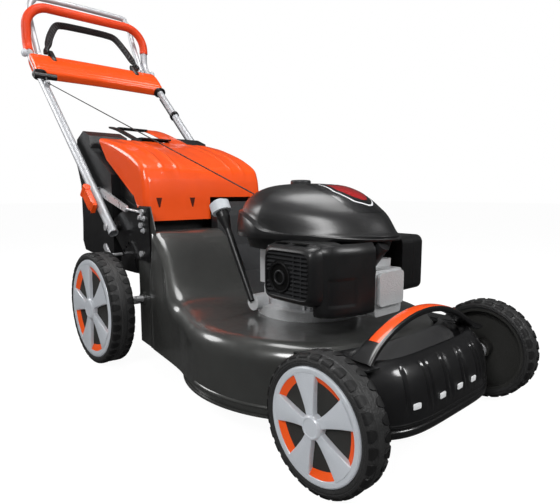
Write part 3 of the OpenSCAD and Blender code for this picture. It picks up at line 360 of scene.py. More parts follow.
class Graph:
    """Builds one material's shader graph."""

    def __init__(self, name: str) -> None:
        """Start an empty material of a name."""
        self.material = bpy.data.materials.new(name)
        self.material.use_nodes = True
        self.tree = self.material.node_tree
        self.tree.nodes.clear()
        self.output = self.tree.nodes.new("ShaderNodeOutputMaterial")

    def node(self, kind: str, inputs: dict[str | int, object] | None = None, out: str | int = 0,
             **props: object) -> Sock:
        """Make any node.

        Args:
            kind: Blender's type name of the node.
            inputs: Values or sockets by input name, identifier or index.
            out: Output to hand back.
            props: Properties set on the node before its inputs.

        Returns:
            The chosen output.
        """
        made = self.tree.nodes.new(kind)
        for key, value in props.items():
            setattr(made, key, value)
        by_id = {s.identifier: s for s in made.inputs}
        for key, value in (inputs or {}).items():
            target = by_id[key] if key in by_id else made.inputs[key]
            if isinstance(value, Sock):
                self.tree.links.new(value.socket, target)
            elif isinstance(value, tuple) and target.type == "RGBA":
                target.default_value = (*value, 1.0)
            else:
                target.default_value = value
        return Sock(self, made.outputs[out])

    def place(self, stretch: Point = (1.0, 1.0, 1.0)) -> Sock:
        """Object coordinates, stretched by a factor on each axis."""
        where = self.node("ShaderNodeTexCoord", out="Object")
        return self.node("ShaderNodeMapping", {"Vector": where, "Scale": stretch})

    def noise(self, scale: float, detail: float = 3.0, stretch: Point = (1.0, 1.0, 1.0)) -> Sock:
        """Cloudy values between about 0.3 and 0.7."""
        return self.node("ShaderNodeTexNoise",
                         {"Vector": self.place(stretch), "Scale": scale, "Detail": detail})

    def cells(self, scale: float) -> Sock:
        """Distance to the nearest of many scattered points."""
        return self.node("ShaderNodeTexVoronoi", {"Vector": self.place(), "Scale": scale})

    def mix(self, share: Value, a: "Colour | Sock", b: "Colour | Sock") -> Sock:
        """Blend two colours."""
        return self.node("ShaderNodeMix", {"Factor_Float": share, "A_Color": a, "B_Color": b}, out=2,
                         data_type="RGBA")

    def bump(self, height: Sock, strength: float, depth: float) -> Sock:
        """A surface normal raised by a height in metres times depth."""
        return self.node("ShaderNodeBump", {"Height": height, "Strength": strength, "Distance": depth})

    def surface(self, colour: "Colour | Sock", roughness: Value, metallic: float = 0.0, coat: float = 0.0,
                normal: Sock | None = None, shine: float = 0.5, coat_rough: float = 0.1) -> None:
        """Finish the material with one principled surface.

        Args:
            colour: Base colour.
            roughness: Surface roughness.
            metallic: Share of metal.
            coat: Weight of the clear coat.
            normal: Bumped normal, if any.
            shine: Level of the surface's own reflection.
            coat_rough: Roughness of the clear coat.
        """
        inputs: dict[str | int, object] = {
            "Base Color": colour, "Roughness": roughness, "Metallic": metallic, "Coat Weight": coat,
            "Coat Roughness": coat_rough, "Specular IOR Level": shine}
        if normal is not None:
            inputs["Normal"] = normal
        shader = self.node("ShaderNodeBsdfPrincipled", inputs)
        self.tree.links.new(shader.socket, self.output.inputs["Surface"])


class Grain(Enum):
    """How a finish is broken up close to."""

    FINE = "fine moulded grain"
    FLAKE = "metal flakes under lacquer"
    BRUSHED = "lines along x"
    CAST = "rough casting"
    DIAMOND = "crossed ridges"
    RUBBER = "dusty rubber"
    TWIST = "twisted strands"


@dataclass(frozen=True)
class Finish:
    """A painted, moulded or metal finish."""

    name: str
    colour: Colour
    second: Colour
    roughness: float
    metallic: float = 0.0
    coat: float = 0.0
    grain: Grain = Grain.FINE
    depth: float = 0.00008
    shine: float = 0.5
    coat_rough: float = 0.1
    drift_scale: float = 9.0
    wear_scale: float = 60.0
    wear_rough: float = 0.12
    flake_scale: float = 1400.0
    flake_share: float = 0.35
    ridge_scale: float = 60.0

    @cache
    def material(self) -> bpy.types.Material:
        """Build the shader graph, once for each finish."""
        graph = Graph(f"look_{self.name}")
        drift = graph.noise(self.drift_scale, 4.0).above(0.5, 0.2)
        wear = graph.noise(self.wear_scale, 5.0).above(0.5, 0.25)
        colour = graph.mix(drift * 0.7 + wear * 0.3, self.colour, self.second)
        rough = self.roughness + (wear - 0.5) * self.wear_rough
        normal = graph.bump(self.height(graph), 0.6, self.depth * 10)
        if self.grain is Grain.FLAKE:
            sparkle = graph.cells(self.flake_scale).above(0.25, 0.1)
            bright: Colour = tuple(min(1.0, 2.0 * c + 0.015) for c in self.colour)
            colour = graph.mix((1.0 - sparkle) * self.flake_share, colour, bright)
        graph.surface(colour, rough, self.metallic, self.coat, normal, self.shine, self.coat_rough)
        return graph.material

    def height(self, graph: Graph) -> Sock:
        """The fine relief of this finish."""
        if self.grain is Grain.BRUSHED:
            return graph.noise(40.0, 2.0, (1.0, 30.0, 30.0))
        if self.grain is Grain.CAST:
            return graph.noise(420.0, 4.0)
        if self.grain in (Grain.DIAMOND, Grain.TWIST):
            ridges = [graph.node("ShaderNodeTexWave",
                                 {"Vector": graph.place((1.0, k, 1.0)), "Scale": self.ridge_scale},
                                 bands_direction="DIAGONAL") for k in (1.0, -1.0)]
            return ridges[0] * ridges[1] if self.grain is Grain.DIAMOND else ridges[0]
        if self.grain is Grain.RUBBER:
            return graph.noise(260.0, 3.0)
        if self.grain is Grain.FLAKE:
            return graph.noise(30.0, 2.0) * 0.3
        return graph.noise(700.0, 2.0)


DECK_PAINT = Finish("deck_paint", (0.046, 0.047, 0.045), (0.060, 0.061, 0.058), 0.38, 0.35, 1.0,
                    Grain.FLAKE, shine=0.3, coat_rough=0.14)
BLACK_GLOSS = Finish("black_gloss", (0.004, 0.004, 0.0045), (0.007, 0.007, 0.0075), 0.4, coat=1.0,
                     shine=0.2, coat_rough=0.14)
BLACK_SATIN = Finish("black_satin", (0.005, 0.005, 0.0055), (0.009, 0.009, 0.0095), 0.45, coat=0.5,
                     depth=0.00012, shine=0.2, coat_rough=0.3)
# Near black painted as shade, for the dark inside of the guard's outlet and of each slot on its top.
PAINTED_SHADE_BLACK = Finish("painted_shade_black", (0.003, 0.003, 0.003), (0.005, 0.005, 0.005), 0.6, shine=0.1)
DOME_BLACK = Finish("dome_black", (0.006, 0.006, 0.0065), (0.010, 0.010, 0.0105), 0.42, coat=0.7,
                    depth=0.0001, shine=0.25, coat_rough=0.26)
GREY_SATIN = Finish("grey_satin", (0.016, 0.0165, 0.018), (0.024, 0.0245, 0.026), 0.46, coat=0.3,
                    shine=0.3, coat_rough=0.3)
WINDOW_GREY = Finish("window_grey", (0.022, 0.022, 0.020), (0.03, 0.03, 0.028), 0.7, shine=0.3)
CATCHER_GREY = Finish("catcher_grey", (0.009, 0.0093, 0.010), (0.014, 0.0143, 0.015), 0.46, coat=0.35,
                      shine=0.2, coat_rough=0.3)
CATCHER_BLACK = Finish("catcher_black", (0.004, 0.004, 0.0045), (0.008, 0.008, 0.0085), 0.5,
                       depth=0.00015, shine=0.3)
ORANGE = Finish("orange", (0.82, 0.072, 0.004), (0.88, 0.086, 0.006), 0.38, coat=0.6,
                shine=0.2, coat_rough=0.09)
GRIP_ORANGE = Finish("grip_orange", (0.66, 0.045, 0.006), (0.73, 0.056, 0.008), 0.5, coat=0.1,
                     depth=0.0002, shine=0.25)
TIP_ORANGE = Finish("tip_orange", (0.86, 0.085, 0.006), (0.9, 0.1, 0.009), 0.4, shine=0.25)
# Dark orange painted as the shade inside each V notch of the flap.
NOTCH_PAINTED_SHADE = Finish("notch_painted_shade", (0.05, 0.006, 0.002), (0.08, 0.009, 0.003), 0.6, shine=0.2)
DISH_GREY = Finish("dish_grey", (0.030, 0.030, 0.031), (0.042, 0.042, 0.043), 0.5, depth=0.0002, shine=0.35)
SILVER_PLASTIC = Finish("silver_plastic", (0.50, 0.53, 0.57), (0.55, 0.58, 0.62), 0.38, 0.1, 0.3, Grain.FLAKE)
CAP_GREY = Finish("cap_grey", (0.46, 0.49, 0.53), (0.52, 0.55, 0.58), 0.42)
PALE = Finish("pale_plastic", (0.68, 0.69, 0.70), (0.76, 0.77, 0.78), 0.4)
INLAY_RED = Finish("inlay_red", (0.33, 0.012, 0.014), (0.42, 0.018, 0.018), 0.2, 0.1, 0.8)
ZINC = Finish("zinc", (0.58, 0.59, 0.61), (0.68, 0.68, 0.69), 0.3, 0.55, grain=Grain.BRUSHED)
TUBE = Finish("tube_alloy", (0.47, 0.48, 0.50), (0.53, 0.54, 0.56), 0.4, 0.35)
CAST = Finish("cast_alloy", (0.62, 0.63, 0.645), (0.72, 0.73, 0.74), 0.36, 0.4,
              grain=Grain.CAST, depth=0.0003)
STEEL_BLACK = Finish("steel_black", (0.004, 0.004, 0.0045), (0.008, 0.008, 0.0085), 0.4, coat=0.6, shine=0.2)
# The tyre's rubber drawn darker on the pads, as painted shade.
PAD_SHADE_PAINTED_RUBBER = Finish("pad_shade_painted_rubber", (0.006, 0.006, 0.0062), (0.010, 0.010, 0.0102), 0.55,
                    grain=Grain.RUBBER, shine=0.3)
TYRE = Finish("tyre_rubber", (0.020, 0.020, 0.0202), (0.03, 0.03, 0.0302), 0.48,
              grain=Grain.RUBBER, depth=0.0002, shine=0.35)
RUBBER = Finish("soft_rubber", (0.007, 0.007, 0.008), (0.012, 0.012, 0.013), 0.48, grain=Grain.RUBBER)
ROPE = Finish("twisted_rope", (0.012, 0.012, 0.012), (0.03, 0.03, 0.03), 0.75,
              grain=Grain.TWIST, depth=0.0004)
KNURLED = Finish("knurled_black", (0.007, 0.007, 0.008), (0.016, 0.016, 0.017), 0.45,
                 grain=Grain.DIAMOND, depth=0.0008)
FOAM = Finish("filter_foam", (0.4, 0.16, 0.04), (0.5, 0.22, 0.06), 0.9, grain=Grain.CAST, depth=0.0006)
CERAMIC = Finish("white_ceramic", (0.8, 0.79, 0.75), (0.86, 0.85, 0.82), 0.2, coat=0.4)

FINISH_NODES: dict[Finish, str] = {
    DECK_PAINT: "deck_housing",
    BLACK_GLOSS: "front_bumper",
    BLACK_SATIN: "muffler_guard engine_cowl fuel_tank air_cleaner_case air_cleaner_cover oil_filler_tube "
                 "starter_grip",
    DOME_BLACK: "engine_cover",
    GREY_SATIN: "belt_cover gearbox_pulley gearbox",
    CATCHER_GREY: "catcher_lid",
    CATCHER_BLACK: "catcher_bin",
    ORANGE: "carry_handle_inlay console cam_lever_right cam_lever_left rear_flap",
    GRIP_ORANGE: "handle_grip",
    STEEL_BLACK: "handle_brackets",
    ZINC: "handle_stays bracket_bolts flap_pin muffler engine_bolts crankshaft blade blade_bolt rear_axle "
          "height_lever front_arm_right front_arm_left",
    CAST: "engine_block head_cover flywheel blade_hub",
    TUBE: "handle_tube brake_bail",
    RUBBER: "drive_belt plug_cap control_cables",
    ROPE: "starter_rope",
    KNURLED: "drive_bail",
    FOAM: "air_filter",
    CERAMIC: "spark_plug",
    CAP_GREY: "oil_cap"}
NODE_FINISH: dict[str, Finish] = {
    name: finish for finish, names in FINISH_NODES.items() for name in names.split()}
FAMILY_FINISH: dict[str, Finish] = {"tyre": TYRE, "rim": WINDOW_GREY, "cap": SILVER_PLASTIC}
SOFT_EDGES: dict[str, float] = {
    "deck_housing": 1.2, "belt_cover": 3.0, "head_cover": 2.0, "air_cleaner_case": 3.0,
    "air_cleaner_cover": 7.0, "catcher_lid": 5.0, "catcher_bin": 5.0, "cam_lever_right": 3.0,
    "cam_lever_left": 3.0, "gearbox": 2.0, "oil_cap": 2.0, "handle_stays": 0.8, "handle_brackets": 0.6,
    "plug_cap": 2.0, "starter_grip": 2.0}


class Shape:
    """A mesh being modelled in millimetres about the rear axle."""

    def __init__(self, name: str) -> None:
        """Start an empty mesh for a piece of a name."""
        self.name = name
        self.bm = bmesh.new()

    def loft(self, rings: Sequence[Sequence[Point]], caps: bool = True) -> None:
        """Bridge a row of closed rings that have the same number of points, and close the two ends."""
        loops: list[list[bmesh.types.BMEdge]] = []
        for ring in rings:
            verts = [self.bm.verts.new(p) for p in ring]
            loops.append([self.bm.edges.new(pair) for pair in zip(verts, verts[1:] + verts[:1])])
        for low, high in zip(loops, loops[1:]):
            bmesh.ops.bridge_loops(self.bm, edges=low + high)
        if caps:
            bmesh.ops.holes_fill(self.bm, edges=loops[0] + loops[-1], sides=0)

    def prism(self, outline: Sequence[Flat], place: Place, depth: float) -> None:
        """Extrude an outline by a depth, through a function that turns both into a point."""
        self.loft([[place(u, v, h) for u, v in outline] for h in (0.0, depth)])

    def lathe(self, profile: Sequence[Flat], place: Place, steps: int = 72, turn: float = 2 * math.pi,
              start: float = 0.0) -> None:
        """Spin a closed profile of radius and height about an axis.

        Args:
            profile: Corners as radius and height.
            place: Turns local x, y, z, with z along the axis, into a point.
            steps: Steps round the turn.
            turn: Angle turned through.
            start: Angle the turn starts from.
        """
        centre = Vector(place(0, 0, 0))
        axis = Vector(place(0, 0, 1)) - centre
        if (Vector(place(1, 0, 0)) - centre).cross(Vector(place(0, 1, 0)) - centre).dot(axis) < 0:
            axis = -axis
        verts = [self.bm.verts.new(place(r * math.cos(start), r * math.sin(start), h)) for r, h in profile]
        whole = turn > 2 * math.pi - 1e-6
        if whole:
            geom: list = [self.bm.edges.new(p) for p in zip(verts, verts[1:] + verts[:1])] + verts
        else:
            geom = [self.bm.faces.new(verts)]
            geom += list(geom[0].edges) + verts
        bmesh.ops.spin(self.bm, geom=geom, cent=centre, axis=axis, dvec=(0, 0, 0), angle=turn, steps=steps,
                       use_merge=whole, use_normal_flip=False)

    def tube(self, path: Sequence[Point], radius: float | Callable[[float], float], sides: int = 16) -> None:
        """Sweep a round section along a path.

        Args:
            path: Points of the centre line.
            radius: Radius of the section, or a function of the share of the path.
            sides: Sides of the section.
        """
        side = Vector((0.31, 0.24, 0.92))
        rings = []
        for i, p in enumerate(path):
            r = radius(i / (len(path) - 1)) if callable(radius) else radius
            along = (Vector(path[min(i + 1, len(path) - 1)]) - Vector(path[max(i - 1, 0)])).normalized()
            side = (side - along * side.dot(along)).normalized()
            rings.append([tuple(Vector(p) + u * side + v * along.cross(side)) for u, v in
                          oval(r, r, 2.0, sides)])
        self.loft(rings)

    def sheet(self, across: int, along: int, place: Callable[[float, float], Point]) -> None:
        """Bend a flat grid to a surface given by two values from 0 to 1."""
        made = bmesh.ops.create_grid(self.bm, x_segments=across, y_segments=along, size=0.5)
        for v in made["verts"]:
            v.co = place(v.co.x + 0.5, v.co.y + 0.5)

    def bolt(self, centre: Point, axis: Point, radius: float, height: float) -> None:
        """A washer and a hexagon head with a rounded top, standing on a surface."""
        out = Vector(axis).normalized()
        side = out.orthogonal().normalized()
        up = out.cross(side)

        def place(a: float, b: float, h: float) -> Point:
            """Axes about the bolt to the machine's, with h out of the surface."""
            return tuple(Vector(centre) + a * side + b * up + h * out)
        washer = 1.45 * radius
        self.lathe([(0, 0), (washer, 0), (washer, 1.2), (1.3 * radius, 1.6), (0, 1.6)], place, 24)
        self.lathe([(0, 1.4), (radius, 1.4), (radius, height - 1), (0.85 * radius, height), (0, height)],
                   place, 6)

    def bevel(self, width: float, segments: int = 2, angle: float = 0.5) -> None:
        """Round the edges that turn by more than an angle."""
        bmesh.ops.recalc_face_normals(self.bm, faces=self.bm.faces)
        edges = [e for e in self.bm.edges if len(e.link_faces) == 2 and e.calc_face_angle(0.0) > angle]
        bmesh.ops.bevel(self.bm, geom=edges, offset=width, offset_type="OFFSET", segments=segments,
                        profile=0.5, affect="EDGES", clamp_overlap=True, material=-1)

    def finish(self, finish: Finish, smooth: float = 0.7) -> bpy.types.Object:
        """Turn the mesh into an object, with edges sharper than an angle kept crisp."""
        bmesh.ops.remove_doubles(self.bm, verts=self.bm.verts, dist=0.001)
        bmesh.ops.recalc_face_normals(self.bm, faces=self.bm.faces)
        for v in self.bm.verts:
            v.co = at(*v.co)
        for face in self.bm.faces:
            face.smooth = True
        for edge in self.bm.edges:
            edge.smooth = len(edge.link_faces) == 2 and edge.calc_face_angle(0.0) < smooth
        mesh = bpy.data.meshes.new(self.name)
        self.bm.to_mesh(mesh)
        self.bm.free()
        mesh.materials.append(finish.material())
        made = bpy.data.objects.new(self.name, mesh)
        bpy.context.scene.collection.objects.link(made)
        return made

    def done(self, finish: Finish, body: str, smooth: float = 0.7) -> bpy.types.Object:
        """Turn the mesh into an object that rides on a CAD body."""
        made = self.finish(finish, smooth)
        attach(made, body)
        log.info("made %s", made.name)
        return made

    def shell(self, finish: Finish, body: str, thickness: float, smooth: float = 0.7,
              offset: float = -1.0) -> bpy.types.Object:
        """Turn an open sheet into an object with a wall.

        Args:
            finish: Finish of the piece.
            body: CAD body that it rides on.
            thickness: Thickness of the wall, in millimetres.
            smooth: Angle above which edges stay crisp.
            offset: Side the wall grows to: -1 inwards, 0 both ways.

        Returns:
            The object.
        """
        bmesh.ops.recalc_face_normals(self.bm, faces=self.bm.faces)
        made = self.done(finish, body, smooth)
        wall = made.modifiers.new("wall", "SOLIDIFY")
        wall.thickness = thickness / MM
        wall.offset = offset
        return made


@dataclass
class Wheel:
    """One wheel: treaded tyre and spoked cap on the CAD rim."""

    tag: str
    side: int
    pads: int
    centre: Vector = field(init=False)
    radius: float = field(init=False)
    face: float = field(init=False)
    sidewall: float = 17.0
    tread: float = 1.7
    pad_share: float = 0.38
    pad_widths: tuple[float, ...] = (1.0, 1.0, 1.0, 0.97, 0.9, 0.72, 0.42, 0.16)
    pad_leans: tuple[float, ...] = (-1.0, -0.9, 0.0, 0.9, 1.0)
    spokes: int = 5
    first_spoke: float = math.pi / 2 + 0.25
    spoke_section: tuple[Flat, ...] = ((1.05, -8.5), (1.02, -2.0), (0.96, -0.6), (0.85, 0.0), (0.0, 0.3))

    def __post_init__(self) -> None:
        """Read the wheel's size and place from its CAD tyre."""
        lo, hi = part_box(f"tyre_{self.tag}")
        self.radius = (hi.z - lo.z) * MM / 2
        self.face = (hi.y - lo.y) * MM / 2
        mid = (lo + hi) / 2
        self.centre = Vector(((mid.x - REAR_X) * MM, mid.y * MM, mid.z * MM))

    @property
    def body(self) -> str:
        """The CAD body of this wheel."""
        return f"wheel_{self.tag}"

    @property
    def rim(self) -> float:
        """Radius of the cap, inside the tyre's sidewall."""
        return self.radius - self.sidewall

    def local(self, x: float, y: float, z: float) -> Point:
        """Wheel axes to the machine's: z runs out along the axle."""
        return (self.centre.x + x, self.centre.y + self.side * z, self.centre.z + y)

    def polar(self, radius: float, turn: float, out: float) -> Point:
        """A point by its radius, its angle and its place along the axle."""
        return self.local(radius * math.cos(turn), radius * math.sin(turn), out)

    def spoke_turn(self, number: float) -> float:
        """Angle of a spoke by its number, or of a window by a number and a half."""
        return self.first_spoke + number * 2 * math.pi / self.spokes

    def spoke_half(self, share: float) -> float:
        """Half the width of a spoke at a share of the cap's radius."""
        return 0.088 + 0.165 * max(0.0, (share - 0.25) / 0.65) ** 1.25

    def build(self) -> None:
        """Make the tyre, the cap and the coloured ends of its windows."""
        self.tyre()
        self.cap()
        self.tips()

    def tyre(self) -> None:
        """A carcass with rounded shoulders, a smooth middle band and two rows of rounded pads, coloured
        darker than the carcass as painted shade.
        """
        r, w, seat, base = self.radius, self.face, self.rim, self.radius - self.tread
        shape = Shape(f"tread_{self.tag}")
        outer = [(seat, w - 3), (seat + 2.5, w - 0.9), (seat + 5, w - 0.2), (seat + 7, w - 0.8),
                 (seat + 8, w - 0.2), (base - 5, w - 1), (base - 2, w - 3), (base, w - 7), (base, 6.5),
                 (r - 0.8, 5.0), (r - 0.6, 0.0)]
        shape.lathe(outer + [(p, -h) for p, h in reversed(outer[:-1])], self.local, 120)
        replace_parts(shape.done(TYRE, self.body, 0.45), f"tyre_{self.tag}")
        pads = Shape(f"tread_pads_{self.tag}")
        for row in (1, -1):
            for i in range(self.pads):
                self.pad(pads, row, 2 * math.pi * (i + (0.5 if row < 0 else 0.0)) / self.pads)
        # The pads are coloured darker than the carcass as painted shade.
        pads.done(PAD_SHADE_PAINTED_RUBBER, self.body, 0.45)

    def pad(self, shape: Shape, row: int, middle: float) -> None:
        """One pad that starts on the sidewall and narrows to a round end on the tread.

        Args:
            shape: Mesh that the pad goes into.
            row: 1 for the outer row, -1 for the inner one.
            middle: Angle of the pad's middle.
        """
        r, w = self.radius, self.face
        half = self.pad_share * 2 * math.pi / self.pads
        tops = [(r - 5.0, w - 1.2), (r - 3.2, w - 1.8), (r - 1.2, w - 3.6), (r - 0.1, w - 6.8), (r, 0.64 * w),
                (r, 0.48 * w), (r - 0.1, 0.36 * w), (r - 1.8, 0.3 * w)]
        feet = [(r - 5.6, w - 2.4), (r - 4.6, w - 3.0), (r - 2.9, w - 4.6), (r - 2.0, w - 7.6)]
        feet += [(r - 1.9, share * w) for share in (0.64, 0.48, 0.36, 0.3)]
        rows, columns = len(self.pad_widths) - 1, len(self.pad_leans) - 1

        def place(u: float, v: float) -> Point:
            """A point of the pad: u across it, v from the sidewall to its round end."""
            k, n = round(v * rows), round(u * columns)
            radius, out = (tops if 0 < n < columns else feet)[k]
            return self.polar(radius, middle + self.pad_leans[n] * half * self.pad_widths[k], row * out)
        shape.sheet(columns, rows, place)

    def cap(self) -> None:
        """A silver ring, spokes that widen outwards and a hub, over dark windows."""
        r, face = self.rim, self.face
        dish = Shape(f"cap_dish_{self.tag}")
        dish.lathe([(0.2 * r, face - 10), (0.9 * r, face - 9), (0.9 * r, face - 7.5), (0.2 * r, face - 8.5)],
                   self.local, 72)
        dish.done(WINDOW_GREY, self.body)
        silver = Shape(f"cap_{self.tag}")
        ring = ((0.875, -8), (0.875, -1.6), (0.885, -0.7), (0.93, 0.2), (0.97, 0.0), (0.99, -1.2), (1.0, -3),
                (1.0, -8))
        hub = ((0.0, -8), (0.0, 4.2), (0.15, 4.2), (0.16, 4.9), (0.18, 4.6), (0.2, 3.0), (0.215, 0.5),
               (0.22, -8))
        for profile, steps in ((ring, 120), (hub, 72)):
            silver.lathe([(share * r, face + out) for share, out in profile], self.local, steps)
        for i in range(self.spokes):
            self.spoke(silver, self.spoke_turn(i))
        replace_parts(silver.done(SILVER_PLASTIC, self.body, 0.5), f"cap_{self.tag}")

    def spoke(self, shape: Shape, turn: float) -> None:
        """One spoke with rounded shoulders and a side wall down to the window's floor."""
        r, middle = self.rim, len(self.spoke_section) - 1

        def place(u: float, v: float) -> Point:
            """A point of the spoke: u across it, v from the hub to the ring."""
            n = round(u * 2 * middle)
            wide, lift = self.spoke_section[min(n, 2 * middle - n)]
            share = 0.2 + 0.7 * v
            y = math.copysign(wide * self.spoke_half(share) * r, n - middle)
            x = math.sqrt(max((share * r) ** 2 - y * y, 0.0))
            c, s = math.cos(turn), math.sin(turn)
            return self.local(x * c - y * s, x * s + y * c, self.face + lift + 1.2 * (1 - v) ** 3)
        shape.sheet(2 * middle, 14, place)

    def tips(self) -> None:
        """Slanted orange ends in the windows."""
        shape = Shape(f"cap_tips_{self.tag}")
        for i in range(self.spokes):
            def place(u: float, v: float, turn: float = self.spoke_turn(i + 0.5)) -> Point:
                """A point of one end: u across the window, v outwards."""
                lean = 2 * u - 1
                share = 0.735 + 0.15 * v + 0.02 * lean * lean * (1 - v)
                half = math.pi / self.spokes - math.asin(0.99 * self.spoke_half(share) / share)
                return self.polar(share * self.rim, turn + half * lean, self.face - 8.2 + 6.8 * v ** 1.2)
            shape.sheet(10, 4, place)
        shape.done(TIP_ORANGE, self.body)


@dataclass
class EngineTop:
    """The domed engine cover and what sits on it."""

    sides: int = 96
    proud: float = 7.0
    nose_power: float = 1.48
    side_power: float = 1.14
    lid_place: Flat = (CRANK_X + 121.0 * math.cos(math.radians(145)), 121.0 * math.sin(math.radians(145)))
    levels: tuple[tuple[float, float, float, float], ...] = (
        (342.0, 148.0, 148.0, 211.0), (350.0, 149.0, 149.0, 214.0), (357.0, 148.0, 148.0, 207.0),
        (385.0, 148.0, 144.0, 186.0), (402.0, 146.0, 137.0, 163.0), (416.0, 140.0, 125.0, 143.0),
        (428.0, 128.0, 108.0, 122.0), (438.0, 108.0, 86.0, 94.0), (444.0, 84.0, 62.0, 64.0),
        (447.0, 54.0, 36.0, 36.0), (448.0, 24.0, 14.0, 14.0))
    inlays: tuple[tuple[str, Finish, float, tuple[Flat, ...]], ...] = (
        ("gloss", BLACK_GLOSS, 0.6, ((3.4, 40.0), (4.6, 51.0), (6.5, 54.0), (8.4, 40.0))),
        ("rim", PALE, 1.0, ((4.15, 6.0), (4.7, 28.0), (6.2, 40.0), (8.0, 30.0))),
        ("red", BLACK_GLOSS, 1.3, ((4.3, 4.0), (4.8, 24.5), (6.2, 37.0), (7.95, 27.5))),
        ("band", INLAY_RED, 1.6, ((4.9, 6.0), (5.4, 20.0), (6.4, 30.0), (7.6, 24.0))))

    def reaches(self, level: float) -> tuple[float, ...]:
        """Height, rear, side and front reach at a position in the table of levels."""
        return curve(self.levels, level / (len(self.levels) - 1))

    def surface(self, turn: float, level: float, lift: float = 0.0) -> Point:
        """A point on the cover.

        Args:
            turn: Angle about the crankshaft from straight ahead.
            level: Position in the table of levels.
            lift: Distance outside the cover.

        Returns:
            The point, in millimetres.
        """
        z, back, half, nose = self.reaches(level)
        c, s = math.cos(turn), math.sin(turn)
        up = lift * ease((level - 3) / 5)
        if c <= 0:
            return (CRANK_X + (back + lift) * c, (half + lift) * s, z + up)
        return (CRANK_X + (nose + lift) * c ** self.nose_power,
                math.copysign((half + lift) * abs(s) ** self.side_power, s), z + up)

    def crease(self, turn: float) -> float:
        """The level of the crease, which falls from the back towards the nose."""
        away = abs(math.remainder(turn, 2 * math.pi))
        return 0.4 + 2.9 * ease((away - 0.2) / 2.2)

    def column(self, turn: float) -> list[Point]:
        """Points from the lower edge over the crease to the top."""
        fold, top = self.crease(turn), len(self.levels) - 1
        low = [self.surface(turn, fold * k / 4, self.proud) for k in range(5)]
        edge = [self.surface(turn, fold + 0.03, self.proud - 0.6), self.surface(turn, fold + 0.2, 0.8)]
        high = [self.surface(turn, fold + 0.25 + (top - fold - 0.25) * k / 26) for k in range(27)]
        x, y, z = low[0]
        return [(CRANK_X + (x - CRANK_X) * 0.97, y * 0.97, z + 0.3)] + low + edge + high

    def build(self) -> None:
        """Make the cover, its inlays, the housing below it, the fuel lid and the rope's eye."""
        self.dome()
        for tag, finish, lift, halves in self.inlays:
            self.inlay(f"engine_inlay_{tag}", finish, lift, halves)
        plate = Shape("fan_housing")
        rings = []
        for z, lift in ((318.0, -18.0), (341.5, -10.0)):
            ring = [self.surface(2 * math.pi * i / 64, 0.0, lift) for i in range(64)]
            rings.append([(x, y, z) for x, y, _ in ring])
        plate.loft(rings)
        plate.done(BLACK_SATIN, "chassis")
        lid = Shape("fuel_lid")
        lid.lathe([(0, 441), (24, 441), (24, 455), (22, 458), (8, 459), (0, 459)],
                  lambda a, b, c: (self.lid_place[0] + a, self.lid_place[1] + b, c), 48)
        lid.bevel(1.0, 2, 0.5)
        lid.done(GREY_SATIN, "chassis")
        eye = Shape("rope_eye")
        eye.lathe([(2.2, -7), (7.5, -7), (7.5, 0), (6.0, 2.0), (3.5, 2.0), (2.2, 0.5)],
                  lambda a, b, c: (367 + b - 0.6 * c, -40 + a, 414 + 0.8 * c), 36)
        eye.done(BLACK_GLOSS, "chassis")

    def dome(self) -> None:
        """The cover itself, closed at the top and open below."""
        shape = Shape("engine_dome")
        columns = [self.column(2 * math.pi * i / self.sides) for i in range(self.sides)]
        shape.loft([list(ring) for ring in zip(*columns)], caps=False)
        crown = [e for e in shape.bm.edges if e.is_boundary and e.verts[0].co.z > 440]
        bmesh.ops.holes_fill(shape.bm, edges=crown, sides=0)
        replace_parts(shape.done(DOME_BLACK, "chassis", 0.6), "engine_cover")

    def inlay(self, name: str, finish: Finish, lift: float, halves: Sequence[Flat]) -> None:
        """A strip over the nose.

        Args:
            name: Name of the piece.
            finish: Finish of the piece.
            lift: Distance outside the cover.
            halves: Pairs of level and half width, from the strip's lower end to its upper one.
        """
        low, high = halves[0][0], halves[-1][0]

        def place(u: float, v: float) -> Point:
            """A point of the strip: u across it, v up it."""
            level = low + (high - low) * v
            y = (2 * u - 1) * between(halves, level)
            turn = math.asin(min(abs(y) / self.reaches(level)[2], 1.0) ** (1 / self.side_power))
            return self.surface(math.copysign(turn, y), level, lift)
        shape = Shape(name)
        shape.sheet(24, 32, place)
        shape.done(finish, "chassis")


